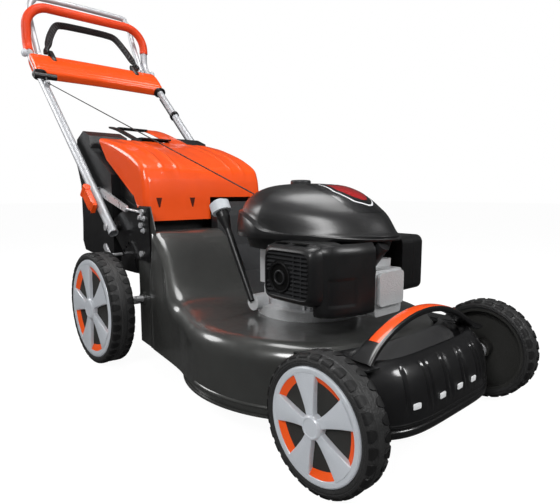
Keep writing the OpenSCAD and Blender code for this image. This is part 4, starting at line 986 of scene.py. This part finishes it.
@dataclass
class Guard:
    """The louvred muffler guard and the smooth cowl in front of it."""

    middle: Flat = (591.0, 280.0)
    outlet: Flat = (573.0, 280.0)
    half: float = 68.0
    below: float = 48.0
    above: float = 61.6
    ring_points: int = 64
    slat_half: float = 51.0
    clear: float = 30.0
    top: float = 341.0
    steps: tuple[Flat, ...] = (
        (-98.0, 0.0), (-140.0, 0.0), (-156.0, 1.0), (-166.0, 3.4), (-173.0, 7.0), (-176.5, 10.5),
        (-177.8, 13.5), (-177.2, 14.6), (-173.5, 15.5))
    cowl_line: tuple[Flat, ...] = (
        (640.0, -158.0), (656.0, -154.0), (672.0, -136.0), (685.0, -92.0), (688.0, -53.0))

    def outline(self, inset: float) -> list[Flat]:
        """The guard's rounded outline in x and z."""
        low, high = self.below - inset, self.above - inset
        return [(self.middle[0] + u, self.middle[1] + (v if v < 0 else v * high / low))
                for u, v in oval(self.half - inset, low, 7.0, self.ring_points)]

    def build(self) -> None:
        """Make the box, its louvres, the outlet with a black disc painted as the shade inside it, and the
        cowl.
        """
        box = Shape("guard_box")
        box.loft([[(x, y, z) for x, z in self.outline(d)] for y, d in self.steps])
        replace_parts(box.done(BLACK_SATIN, "chassis", 0.6), "muffler_guard")
        self.louvres()
        for name, finish, sides, profile in (
                ("guard_outlet", BLACK_SATIN, 48,
                 [(24, 172), (27, 172), (27.5, 176.5), (26.5, 178.2), (25, 178.2), (24, 176)]),
                # A black disc painted as the shade at the bottom of the outlet.
                ("guard_painted_shade_disc", PAINTED_SHADE_BLACK, 40, [(0, 172), (24.5, 172), (24.5, 174.5), (0, 174.5)]),
                ("guard_pipe", GREY_SATIN, 40,
                 [(10.5, 172), (13, 172), (13, 177.6), (12.2, 178.2), (11.2, 178.2), (10.5, 177.4)])):
            piece = Shape(name)
            piece.lathe(profile, self.facing, sides)
            piece.done(finish, "chassis")
        self.cowl()

    def facing(self, a: float, b: float, c: float) -> Point:
        """Axes about the outlet, with z out to the right."""
        return (self.outlet[0] + a, -c, self.outlet[1] + b)

    def louvres(self) -> None:
        """Rows of sloping slats, open round the outlet, with thin black prisms on top painted as the shade in
        each slot.
        """
        shape = Shape("guard_louvres")
        x0, (hole, z0) = self.middle[0], self.outlet
        first, last = x0 - self.slat_half, x0 + self.slat_half
        for row in range(11):
            z = 246.0 + 7.4 * row
            gap = math.sqrt(max(self.clear ** 2 - (z + 1.8 - z0) ** 2, 0.0))
            ends = ((first, hole - gap), (hole + gap, last)) if gap else ((first, last),)
            for a, b in ends:
                if b - a > 4:
                    shape.prism([(-173.0, z), (-177.4, z + 0.6), (-177.4, z + 2.4), (-173.0, z + 4.4)],
                                lambda u, v, h, s=a: (s + h, u, v), b - a)
        for x in (x0 + 16, x0 + 34):
            shape.prism([(-173.0, 246), (-176.6, 246), (-176.6, 324), (-173.0, 324)],
                        lambda u, v, h, s=x: (s + h, u, v), 2.2)
        shape.done(GREY_SATIN, "chassis")
        # Thin black prisms painted as the shade in each slot on the guard's top.
        slot_painted_shade = Shape("guard_painted_slot_shade")
        for x in (x0 - 44, x0 + 4):
            slot_painted_shade.prism([(x, -166), (x + 34, -166), (x + 34, -158), (x, -158)],
                        lambda u, v, h: (u, v, self.top + h), 0.9)
        slot_painted_shade.done(PAINTED_SHADE_BLACK, "chassis")

    def cowl(self) -> None:
        """A bent cover from the guard round to the cylinder, with a shallow recess."""
        def place(u: float, v: float) -> Point:
            """A point of the cover: u from the guard to the cylinder, v up it."""
            line = self.cowl_line
            x, y = curve(line, u)
            ahead, behind = curve(line, min(u + 0.01, 1.0)), curve(line, max(u - 0.01, 0.0))
            dx, dy = ahead[0] - behind[0], ahead[1] - behind[1]
            size = math.hypot(dx, dy)
            sink = 9.0 * max(0.0, (v - 0.86) / 0.14) ** 2 + 3.0 * max(0.0, (0.06 - v) / 0.06) ** 2
            edge = min(u - 0.36, 0.72 - u, v - 0.14, 0.54 - v) / 0.025
            sink += 1.4 * ease(edge)
            return (x - dy / size * sink, y + dx / size * sink, 218.0 + 123.4 * v)
        shape = Shape("cowl_shell")
        shape.sheet(64, 48, place)
        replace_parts(shape.shell(BLACK_SATIN, "chassis", 3.0, 0.8, 0.0), "engine_cowl")


@dataclass
class Bumper:
    """The front bumper with its recess and the carry handle."""

    half: float = 214.0
    nose: float = 824.0
    corner: float = 735.0
    side_share: float = 0.14
    wall_rows: int = 28
    recess_rows: int = 12
    wall: tuple[Flat, ...] = (
        (2.0, 58.0), (0.0, 61.0), (0.0, 69.0), (2.6, 71.0), (3.0, 74.0), (0.8, 76.0), (0.4, 79.0),
        (2.6, 81.0), (2.4, 88.0), (3.0, 100.0), (5.0, 115.0), (8.5, 130.0), (13.0, 142.0), (19.0, 153.0),
        (27.0, 162.0), (35.0, 167.0), (40.0, 169.0), (43.0, 169.5))
    grooves: tuple[float, ...] = (-128.0, -80.0, -66.0, -26.0, -12.0, 26.0, 40.0, 80.0, 94.0, 134.0)
    marks: tuple[float, ...] = (-112.0, -44.0, 12.0, 60.0)
    arch_x: float = 750.0
    arch_z: float = -47.0
    arch_radius: float = 272.0
    arch_turn: float = math.radians(38.1)
    strip_turn: float = math.radians(29.1)

    def edge(self, share: float) -> tuple[Vector, Vector]:
        """A point of the plan and its inward normal.

        Args:
            share: Place from the right side's rear end round the nose to the left one's.

        Returns:
            The point and the normal.
        """
        def plan(s: float) -> Vector:
            """A point of the plan by its share."""
            if s < self.side_share or s > 1 - self.side_share:
                side = -1 if s < 0.5 else 1
                back = (self.side_share - s if s < 0.5 else s - (1 - self.side_share)) / self.side_share
                return Vector((self.corner - 100.0 * back, side * self.half, 0.0))
            y = self.half * math.sin(math.pi * (s - 0.5) / (1 - 2 * self.side_share))
            return Vector((self.nose - (self.nose - self.corner) * abs(y / self.half) ** 4.5, y, 0.0))
        step = plan(min(share + 0.003, 1.0)) - plan(max(share - 0.003, 0.0))
        return plan(share), Vector((-step.y, step.x, 0.0)).normalized()

    def share(self, y: float) -> float:
        """The share of the plan at a distance from the middle."""
        return 0.5 + (1 - 2 * self.side_share) * math.asin(y / self.half) / math.pi

    def skin(self, u: float, v: float) -> Point:
        """A point of the skin: v runs up the wall, over the rim and back through the recess."""
        point, inward = self.edge(u)
        k = v * (self.wall_rows + self.recess_rows)
        if k <= self.wall_rows:
            d, z = curve(self.wall, k / self.wall_rows)
            near = min(abs(point.y - g) for g in self.grooves)
            cut = ease(1.6 - near / 2.6) * ease((z - 97) / 6) * ease((161 - z) / 6)
            d += 3.2 * cut if abs(point.y) < 200 and self.side_share < u < 1 - self.side_share else 0.0
            return tuple(point + inward * d + Vector((0, 0, z)))
        inset, height = self.wall[-1]
        rim = point + inward * inset
        t = (k - self.wall_rows) / self.recess_rows
        y = rim.y * (1 - 0.06 * t)
        back = min(CRANK_X + math.sqrt(max((DECK_RADIUS + 0.4) ** 2 - y * y, 0.0)), rim.x - 2)
        bowl = max(1 - (rim.y / 172.0) ** 2, 0.0)
        sink = 30.0 * bowl * ease(t / 0.2) * (1 - ease((t - 0.35) / 0.65))
        rise = 14.0 * bowl * ease((t - 0.25) / 0.75)
        return (rim.x + (back - rim.x) * t, y, height - sink + rise)

    def build(self) -> None:
        """Make the skin, the corners, the bright marks, the recess's face and the carry handle."""
        skin = Shape("bumper_skin")
        skin.sheet(300, self.wall_rows + self.recess_rows, self.skin)
        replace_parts(skin.shell(BLACK_GLOSS, "chassis", 2.5, 0.6), "front_bumper")
        beds = Shape("bumper_corners")
        for side in (-1, 1):
            beds.prism([(640, 150), (640, 205), (735, 205), (776, 185), (780, 160), (735, 158), (700, 150)],
                       lambda u, v, h, k=side: (u, k * v, 164.0 + h), 3.0)
        beds.done(BLACK_GLOSS, "chassis")
        marks = Shape("bumper_marks")
        for y in self.marks:
            point, inward = self.edge(self.share(y))
            side = Vector((-inward.y, inward.x, 0.0))
            marks.prism(oval(8.5, 5.0, 6.0, 24), lambda a, b, h, p=point, n=inward, s=side: tuple(
                p + n * (2.6 - h) + s * a + Vector((0, 0, 104 + b))), 1.4)
        marks.bevel(0.4, 2, 0.6)
        marks.done(PALE, "chassis")
        dish = Shape("bumper_dish")
        dish.sheet(80, 24, self.dish)
        dish.done(DISH_GREY, "chassis")
        self.arch()

    def dish(self, u: float, v: float) -> Point:
        """A point of the lighter, lens-shaped face inside the recess."""
        across = 2 * u - 1
        t = 0.56 + 0.42 * math.sqrt(max(1 - across ** 2, 0.0)) * (2 * v - 1)
        rows = self.wall_rows + self.recess_rows * t
        x, y, z = self.skin(self.share(150.0 * across), rows / (self.wall_rows + self.recess_rows))
        return (x, y, z + 0.8)

    def arch(self) -> None:
        """A flat bow over the recess with flared feet, and the strip on it."""
        rings = []
        for k in range(49):
            lean = k / 24 - 1
            turn = self.arch_turn * lean
            section = oval(14 * (1 + 0.5 * abs(lean) ** 6), 5.5, 5.0, 28)
            rings.append([self.bow(u, self.arch_radius + v, turn) for u, v in section])
        arch = Shape("bumper_arch")
        arch.loft(rings)
        arch.done(BLACK_GLOSS, "chassis", 0.8)
        strip = Shape("arch_strip")
        strip.sheet(8, 40, self.strip)
        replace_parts(strip.shell(ORANGE, "chassis", 1.5), "carry_handle_inlay")

    def bow(self, across: float, radius: float, turn: float) -> Point:
        """A point of the bow by its place across, its radius and its angle from the top."""
        return (self.arch_x + across, radius * math.sin(turn), self.arch_z + radius * math.cos(turn))

    def strip(self, u: float, v: float) -> Point:
        """A point of the orange strip on the bow: u across it, v along it."""
        across = 2 * u - 1
        return self.bow(11.5 * across, 278.4 - 1.6 * across ** 4, self.strip_turn * (2 * v - 1))


@dataclass
class Flap:
    """The big orange flap behind the engine."""

    half: float = 186.0
    edge: float = 16.0
    line: tuple[Flat, ...] = (
        (92.5, 358.0), (90.5, 388.0), (89.5, 417.0), (87.0, 446.0), (82.0, 470.0), (68.0, 497.0),
        (24.0, 522.5), (-18.0, 539.5), (-90.0, 562.5), (-140.0, 574.0), (-188.0, 583.5))
    cheek: tuple[Flat, ...] = ((-186.0, 551.0), (30.0, 418.0), (66.0, 358.0))
    step: Flat = (4.0, 417.0)
    core: Flat = (-60.0, 430.0)
    hinge: Flat = (72.0, 366.0)
    flat_share: float = 0.76
    bend_share: float = 0.86
    tongue_line: tuple[Flat, ...] = ((-180.0, 582.0), (-250.0, 606.0), (-330.0, 632.0), (-385.0, 645.0))

    def inward(self, p: Flat) -> Flat:
        """The direction from a point of the profile into the flap."""
        dx, dz = self.core[0] - p[0], self.core[1] - p[1]
        return dx / math.hypot(dx, dz), dz / math.hypot(dx, dz)

    def side_drop(self, p: Flat) -> float:
        """How far the side cheek reaches in from a point of the profile."""
        dx, dz = self.inward(p)
        (ax, az), (bx, bz) = self.cheek[:2] if p[1] > 420 else self.cheek[1:]
        nx, nz = -(bz - az), bx - ax
        return max(17.0, min(((ax - p[0]) * nx + (az - p[1]) * nz) / (dx * nx + dz * nz), 160.0))

    def skin(self, u: float, v: float) -> Point:
        """A point on the flap: u runs from its lower front edge to its rear edge, v across it."""
        x, z = curve(self.line, u)
        dx, dz = self.inward((x, z))
        w = abs(2 * v - 1)
        flat, bend, inner = self.flat_share, self.bend_share, self.half - self.edge
        if w < flat:
            y = inner * w / flat
            rise = ease((u - 0.38) / 0.25) * (1 - ease((u - 0.92) / 0.08))
            sink = -4.5 * math.exp(-((y - 128) / 6) ** 2) * rise - 3.5 * math.exp(-((y - 86) / 5) ** 2) * rise
            sink += 3.5 * rise * (1 - ease((y - 30) / 44))
        elif w < bend:
            a = (w - flat) / (bend - flat) * math.pi / 2
            y, sink = inner + self.edge * math.sin(a), self.edge * (1 - math.cos(a))
        else:
            drop = self.side_drop((x, z)) - self.edge
            y, sink = self.half, self.edge + drop * (w - bend) / (1 - bend)
        return (x + dx * sink, math.copysign(y, 2 * v - 1), z + dz * sink)

    def build(self) -> None:
        """Make the shell, stepped at its lower edge, its ears, dark prisms painted as the shade in each V
        notch, and its tongue.
        """
        shape = Shape("flap_shell")
        shape.sheet(90, 200, self.skin)
        gone = [f for f in shape.bm.faces if f.calc_center_median().z < self.step[1] - 1
                and f.calc_center_median().y > self.step[0]]
        bmesh.ops.delete(shape.bm, geom=gone, context="FACES")
        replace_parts(shape.shell(ORANGE, "flap", 2.8, 0.6), "rear_flap")
        ears = Shape("flap_ears")
        for y in (-155.0, 145.0):
            ears.lathe([(4.2, y), (4.2, y + 10), (9, y + 10), (9, y)],
                       lambda a, b, c: (self.hinge[0] + a, c, self.hinge[1] + b), 40)
            ears.prism([(74, 371), (82, 362), (90, 372), (88, 430), (80, 430)],
                       lambda u, v, h, o=y: (u, o + h, v), 10.0)
        ears.bevel(0.6, 2, 0.6)
        ears.done(ORANGE, "flap")
        # Thin dark orange prisms on the front, painted as the shade inside each V notch.
        notch_painted_shades = Shape("flap_notch_painted_shade")
        for y in (-148.0, -51.0):
            notch_painted_shades.prism([(y - 8, 416), (y + 8, 416), (y + 1.5, 392), (y - 1.5, 392)],
                          lambda u, v, h: (89.3 + 0.035 * (417 - v) + h, u, v), 0.9)
        notch_painted_shades.done(NOTCH_PAINTED_SHADE, "flap")
        self.tongue()

    def tongue(self) -> None:
        """A black finger frame with an orange rim on its left."""
        def bar(shape: Shape, middle: float, half: float) -> None:
            """Add a flat bar along the tongue, at a middle and of a half width."""
            path = [curve(self.tongue_line, k / 16) for k in range(17)]
            shape.loft([[(x, middle + a, z - 3.5 + b) for a, b in oval(half, 3.5, 4.0, 20)] for x, z in path])
        rim = Shape("flap_rim")
        bar(rim, 76.0, 34.0)
        rim.done(ORANGE, "flap")
        fingers = Shape("flap_tongue")
        bar(fingers, -59.0, 11.0)
        first, last = self.tongue_line[0][0], self.tongue_line[-1][0]
        for x, half in ((-362.0, 21.0), (-225.0, 40.0)):
            z = curve(self.tongue_line, (first - x) / (first - last))[1]
            section = oval(half, 3.4, 4.0, 20)
            fingers.loft([[(x + a, y, z - 4 + b) for a, b in section] for y in (-50.0, 46.0)])
        fingers.done(CATCHER_BLACK, "flap")


@dataclass
class Handle:
    """Bails, console and small fittings on the bent tube."""

    bend: Point = on_leg(LEG_LENGTH, 0.0, 0.0)
    eye: Point = on_leg(LEG_LENGTH - 40.0, 0.0, 0.0)
    brake_y: float = 191.5
    brake_radius: float = 10.0
    brake_bends: tuple[Point, ...] = (
        (-43.0, 0.0, 104.0), (-58.0, -4.0, 160.0), (-64.0, -20.0, 186.0), (-66.0, -52.0, 199.0))
    pivot: Point = (-654.9, 0.0, 917.8)
    drive_radius: float = 8.0
    sleeve: float = 4.2
    drive_bends: tuple[Point, ...] = (
        (0, 170, 0), (-12, 158, 24), (-38, 140, 67), (-63, 112, 111), (-73, 84, 122), (-74, 30, 124))
    console_half: float = 229.0
    console_along: float = LEG_LENGTH - 116.0
    creases: tuple[float, ...] = (-38.0, -24.0, 34.0)

    def build(self) -> None:
        """Make the two bails, the console and the fittings."""
        self.brake()
        self.drive()
        self.console()
        self.fittings()

    def bail(self, name: str, half: Sequence[Point], radius: float | Callable[[float], float], sides: int,
             hub: Sequence[Flat]) -> Shape:
        """A bent bar with an eye at each end.

        Args:
            name: Name of the piece.
            half: Bends of the bar's left half, from its eye to the middle.
            radius: Radius of the bar, or a function of the share of its length.
            sides: Sides of the bar's section.
            hub: Profile of the eyes.

        Returns:
            The mesh.
        """
        points = [*half] + [(p[0], -p[1], p[2]) for p in reversed(half)]
        shape = Shape(name)
        shape.tube(run(points, 8), radius, sides)
        x, y, z = half[0]
        for side in (-1, 1):
            shape.lathe(hub, lambda p, q, h, s=side: (x + p, s * y + h, z + q), 36)
        return shape

    def brake(self) -> None:
        """A round bar that lies against the grip."""
        b, y = Vector(self.bend), self.brake_y
        half = [(self.eye[0], y, self.eye[2])]
        half += [tuple(b + Vector((dx, y + dy, dz))) for dx, dy, dz in self.brake_bends]
        shape = self.bail("brake_bar", half, self.brake_radius, 18,
                          [(6.2, -5.5), (11, -5.5), (11, 5.5), (6.2, 5.5)])
        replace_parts(shape.done(TUBE, "brake_lever"), "brake_bail")

    def drive(self) -> None:
        """A bar with a diamond-patterned sleeve, narrower than the brake bar."""
        def radius(share: float) -> float:
            """Radius of the bar, larger under the sleeve."""
            return self.drive_radius + self.sleeve * ease((min(share, 1 - share) - 0.06) / 0.06)
        half = [tuple(Vector(self.pivot) + Vector(o)) for o in self.drive_bends]
        shape = self.bail("drive_bar", half, radius, 20, [(5.0, -5.0), (10, -5.0), (10, 5.0), (5.0, 5.0)])
        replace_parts(shape.done(KNURLED, "drive_lever"), "drive_bail")

    def console_ring(self, y: float, grow: float) -> list[Point]:
        """The console's section at a distance from the middle, grown or shrunk by a factor."""
        back = 32.0 * (1 - (abs(y) / self.console_half) ** 1.8)
        ring = []
        for u, v in oval(58.0 * grow, 22.0 * grow, 3.4, 96):
            fold = 1.6 * sum(math.exp(-((u - m) / 4) ** 2) for m in self.creases) if v > 0 else 0.0
            x, _, z = on_leg(self.console_along + u, y, v - fold)
            ring.append((x - back, y, z + 0.3 * back))
        return ring

    def console(self) -> None:
        """A moulded cross bar with a flat top face, creases and round ends, its lugs and collars."""
        stations = [(-231.0, 0.6), (-229.5, 0.86), (-226.0, 0.97)]
        stations += [(-220.0 + 11.0 * k, 1.0) for k in range(41)]
        stations += [(226.0, 0.97), (229.5, 0.86), (231.0, 0.6)]
        shape = Shape("console_shell")
        shape.loft([self.console_ring(y, grow) for y, grow in stations])
        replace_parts(shape.done(ORANGE, "handle", 0.8), "console")
        lugs = Shape("bail_lugs")
        for side in (-1, 1):
            lugs.prism(oval(34.0, 11.0, 2.6, 28), lambda a, b, h, s=side: on_leg(
                LEG_LENGTH - 54.0 + a, s * (146.0 + h), 10.0 + b), 14.0)
        lugs.bevel(1.5, 2, 0.6)
        lugs.done(BLACK_SATIN, "handle")
        collars = Shape("console_collars")
        for side in (-1, 1):
            rings = []
            for down, grow in ((173.0, 16.0), (172.0, 22.0), (164.0, 23.0), (163.0, 18.0)):
                rings.append([on_leg(LEG_LENGTH - down, side * TUBE_Y + a, b)
                              for a, b in oval(grow, grow * 0.86, 2.4, 32)])
            collars.loft(rings)
        collars.done(BLACK_SATIN, "handle")

    def fittings(self) -> None:
        """Grey pivot knobs and the cable clips."""
        knobs = Shape("bail_knobs")
        for side in (-1, 1):
            knobs.lathe([(0, 10), (9, 10), (12.5, 13), (13.5, 18), (11.5, 24), (6, 27), (0, 27.5)],
                        lambda p, q, h, s=side: (self.eye[0] + p, s * (TUBE_Y + h), self.eye[2] + q), 36)
        knobs.done(CAP_GREY, "handle")
        clips = Shape("cable_clips")
        for along in (560.0, 300.0):
            for reach, thick in ((16.5, 5.0), (14.4, 7.0)):
                clips.loft([[on_leg(along + s, TUBE_Y + a, b - 1.5)
                             for a, b in oval(reach, reach + 2, 2.0, 36)] for s in (-thick, thick)])
        clips.done(BLACK_SATIN, "handle")


@dataclass
class Body:
    """Details on the deck and on the handle's brackets."""

    first_x: float = 134.0
    step: float = 5.0
    rings: int = 54
    blur: int = 4
    ramp_foot: float = 310.0
    ramp_run: float = 190.0
    ramp_rise: float = 158.0
    ramp_half: float = 194.0
    inner: float = 40.0
    shoulder: float = 34.8
    wall_foot: float = 55.0
    bowl_end: float = math.radians(-22.0)
    bowl_steps: int = 40
    outs: tuple[Flat, ...] = (
        (134, 0.6), (146, 7.5), (250, 9.5), (300, 10), (330, 6.5), (360, 4), (400, 0.8))
    lifts: tuple[Flat, ...] = (
        (134, 0.8), (146, 8.5), (270, 9.5), (310, 12), (335, 10), (365, 4), (400, 0.8))
    heads: tuple[Flat, ...] = ((86.0, 369.0), (104.0, 366.0), (100.0, 336.0))
    head_y: float = 198.2

    def build(self) -> None:
        """Add the deck's rounded side, its bead and the bolts."""
        self.side()
        self.deck()
        self.bolts()

    def station(self, x: float) -> list[Flat]:
        """The rounded right side of the ramp and deck at an x.

        Args:
            x: Distance in front of the rear axle.

        Returns:
            Pairs of distance outwards and height.
        """
        rise = self.ramp_rise * ease((self.ramp_foot - x) / self.ramp_run)
        straight = self.ramp_half + 32.0 * (x - 60.0) / 270.0 if x < 330 else 226.0 - 0.08 * (x - 330.0)
        bowl = math.sqrt(max(DECK_RADIUS ** 2 - (x - CRANK_X) ** 2, 0.0))
        out, lift = between(self.outs, x), between(self.lifts, x)
        wall = out + 10.0 * math.log(math.exp((straight - 200) / 10) + math.exp((bowl - 200) / 10)) + 200.0
        high = ease((rise - 36.0) / 60.0)
        edge = (self.ramp_half + out) * high + wall * (1 - high)
        radius = (self.shoulder - 10.8 * high) * between(((134, 0.12), (146, 1.0)), x)
        return self.profile(DECK_TOP + 0.5 + rise, DECK_TOP + rise + lift, self.inner, edge, wall, radius)

    def profile(self, low: float, top: float, inner: float, edge: float, wall: float,
                radius: float) -> list[Flat]:
        """Pairs of distance outwards and height, over the shoulder and down the wall.

        Args:
            low: Height at the inner end.
            top: Height of the shoulder.
            inner: Distance of the inner end.
            edge: Distance of the shoulder's outer edge.
            wall: Distance of the wall's foot.
            radius: Radius of the shoulder.

        Returns:
            The pairs, from the inner end to the foot.
        """
        flat = edge - radius - inner
        pairs = [(inner + flat * k / 10, low + (top - low) * ease(k / 10)) for k in range(10)]
        turns = [math.pi * k / 24 for k in range(13)]
        pairs += [(edge - radius + radius * math.sin(a), top - radius * (1 - math.cos(a))) for a in turns]
        fall = top - radius - self.wall_foot
        reach = max(top - radius - 178.0, 12.0)
        pairs += [(edge + (wall - edge) * ease(fall * k / 18 / reach), top - radius - fall * k / 18)
                  for k in range(1, 19)]
        return pairs

    def smooth(self, rings: list[list[Point]]) -> list[list[Point]]:
        """Average each ring with its neighbours, apart from those at the ends."""
        made = list(rings)
        for i in range(self.blur, len(rings) - self.blur):
            near = rings[i - self.blur:i + self.blur + 1]
            made[i] = [tuple(sum(c) / len(near) for c in zip(*points)) for points in zip(*near)]
        return made

    def side(self) -> None:
        """The ramp's right side, drawn over the CAD's sharp edges and run out into the bowl."""
        places = [self.first_x + self.step * k for k in range(self.rings)]
        rings = self.smooth([[(x, -d, z) for d, z in self.station(x)] for x in places])
        start = math.atan2(-math.sqrt(DECK_RADIUS ** 2 - 74.0 ** 2), -74.0)
        outer = DECK_RADIUS + 0.8
        shoulder = self.profile(DECK_TOP + 0.6, DECK_TOP + 0.8, 205.0, outer, outer, self.shoulder)
        for k in range(1, self.bowl_steps + 1):
            turn = start + (self.bowl_end - start) * k / self.bowl_steps
            rings.append([(CRANK_X + d * math.cos(turn), d * math.sin(turn), z) for d, z in shoulder])
        rows, columns = len(rings) - 1, len(rings[0]) - 1
        shape = Shape("deck_side")
        shape.sheet(rows, columns, lambda u, v: rings[round(u * rows)][round(v * columns)])
        shape.done(DECK_PAINT, "chassis", 0.9)

    def deck(self) -> None:
        """A bead above the bowl's lower edge on both sides."""
        bead = Shape("deck_bead")
        for start in (-100.0, 25.0):
            bead.lathe([(267.6, 64.0), (270.6, 65.0), (271.4, 67.0), (270.6, 69.0), (267.6, 71.0)],
                       lambda a, b, c: (CRANK_X + a, b, c), 60, math.radians(75.0), math.radians(start))
        bead.done(DECK_PAINT, "chassis")

    def bolts(self) -> None:
        """Washers and heads on the handle's brackets."""
        shape = Shape("bracket_heads")
        for side in (-1, 1):
            for x, z in self.heads:
                shape.bolt((x, side * self.head_y, z), (0.0, float(side), 0.0), 4.6, 6.5)
        shape.done(ZINC, "chassis")


@dataclass
class Belt:
    """The drive belt under the deck."""

    front: Vector = field(default_factory=lambda: Vector((CRANK_X, 0.0, 129.0)))
    rear: Vector = field(default_factory=lambda: Vector((75.0, 95.0, 129.0)))
    front_radius: float = 32.6
    rear_radius: float = 41.6
    front_hold: float = 40.0
    rear_hold: float = 48.0
    arc_steps: int = 24
    span_steps: int = 16
    section: tuple[Flat, ...] = ((0.0, -4.4), (0.0, 4.4), (2.4, 3.9), (5.0, 3.2), (5.0, -3.2), (2.4, -3.9))

    def arc(self, middle: Vector, radius: float, start: float, sweep: float) -> list[tuple[Vector, Vector]]:
        """Points round one pulley, each with its direction outwards.

        Args:
            middle: Middle of the pulley.
            radius: Radius of the belt's outside.
            start: Angle of the first point.
            sweep: Angle to the last one.

        Returns:
            Pairs of point and direction.
        """
        turns = [start + sweep * k / self.arc_steps for k in range(self.arc_steps + 1)]
        outs = [Vector((math.cos(a), math.sin(a), 0.0)) for a in turns]
        return [(middle + radius * out, out) for out in outs]

    def route(self) -> list[tuple[Vector, Vector]]:
        """Points round the belt's outside, each with its direction outwards."""
        span = self.rear - self.front
        turn = math.atan2(span.y, span.x)
        lean = math.acos((self.front_radius - self.rear_radius) / span.length)
        arcs = [self.arc(self.front, self.front_radius, turn + lean, 2 * math.pi - 2 * lean),
                self.arc(self.rear, self.rear_radius, turn - lean, 2 * lean)]
        spans = [[(a[-1][0].lerp(b[0][0], k / self.span_steps), a[-1][1]) for k in range(1, self.span_steps)]
                 for a, b in (arcs, arcs[::-1])]
        return arcs[0] + spans[0] + arcs[1] + spans[1]

    def build(self) -> None:
        """Sweep a V section round both pulleys."""
        rings = [[tuple(p - d * out + Vector((0.0, 0.0, h))) for d, h in self.section]
                 for p, out in self.route()]
        shape = Shape("belt_loop")
        shape.loft(rings + rings[:1], caps=False)
        made = shape.finish(RUBBER)
        along = (self.rear - self.front).normalized()
        near, far = self.front + self.front_hold * along, self.rear - self.rear_hold * along
        at(*near)
        at(*far)
        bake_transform(made)
        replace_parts(made, "drive_belt")


@dataclass
class Dress:
    """Finishes and soft edges for the CAD nodes that are shown as they are."""

    merge: float = 0.00002
    segments: int = 3
    angle: float = 0.6

    def build(self) -> None:
        """Give each CAD node its finish, and round the edges of the moulded ones."""
        for name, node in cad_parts.items():
            finish = NODE_FINISH.get(name) or FAMILY_FINISH[name.split("_")[0]]
            node.data.materials.clear()
            node.data.materials.append(finish.material())
            if name in SOFT_EDGES:
                self.soften(node, SOFT_EDGES[name] / MM)

    def soften(self, node: bpy.types.Object, width: float) -> None:
        """Bevel a node's edges by modifiers, with its mesh left as it is."""
        weld = node.modifiers.new("weld", "WELD")
        weld.merge_threshold = self.merge
        soft = node.modifiers.new("soft_edges", "BEVEL")
        soft.width = width
        soft.segments = self.segments
        soft.limit_method = "ANGLE"
        soft.angle_limit = self.angle
        even = node.modifiers.new("even_normals", "WEIGHTED_NORMAL")
        even.keep_sharp = True


def main() -> None:
    """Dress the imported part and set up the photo's view."""
    logging.basicConfig(level=logging.INFO)
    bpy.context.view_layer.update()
    studio = Studio()
    studio.camera()
    Cords().build()
    studio.build()
    Dress().build()
    for end, pads in (("front", 28), ("rear", 36)):
        for hand, side in (("right", -1), ("left", 1)):
            Wheel(f"{end}_{hand}", side, pads).build()
    for piece in (EngineTop(), Guard(), Bumper(), Flap(), Handle(), Body(), Belt()):
        piece.build()
        log.info("finished %s", type(piece).__name__)


if __name__ == "__main__":
    main()
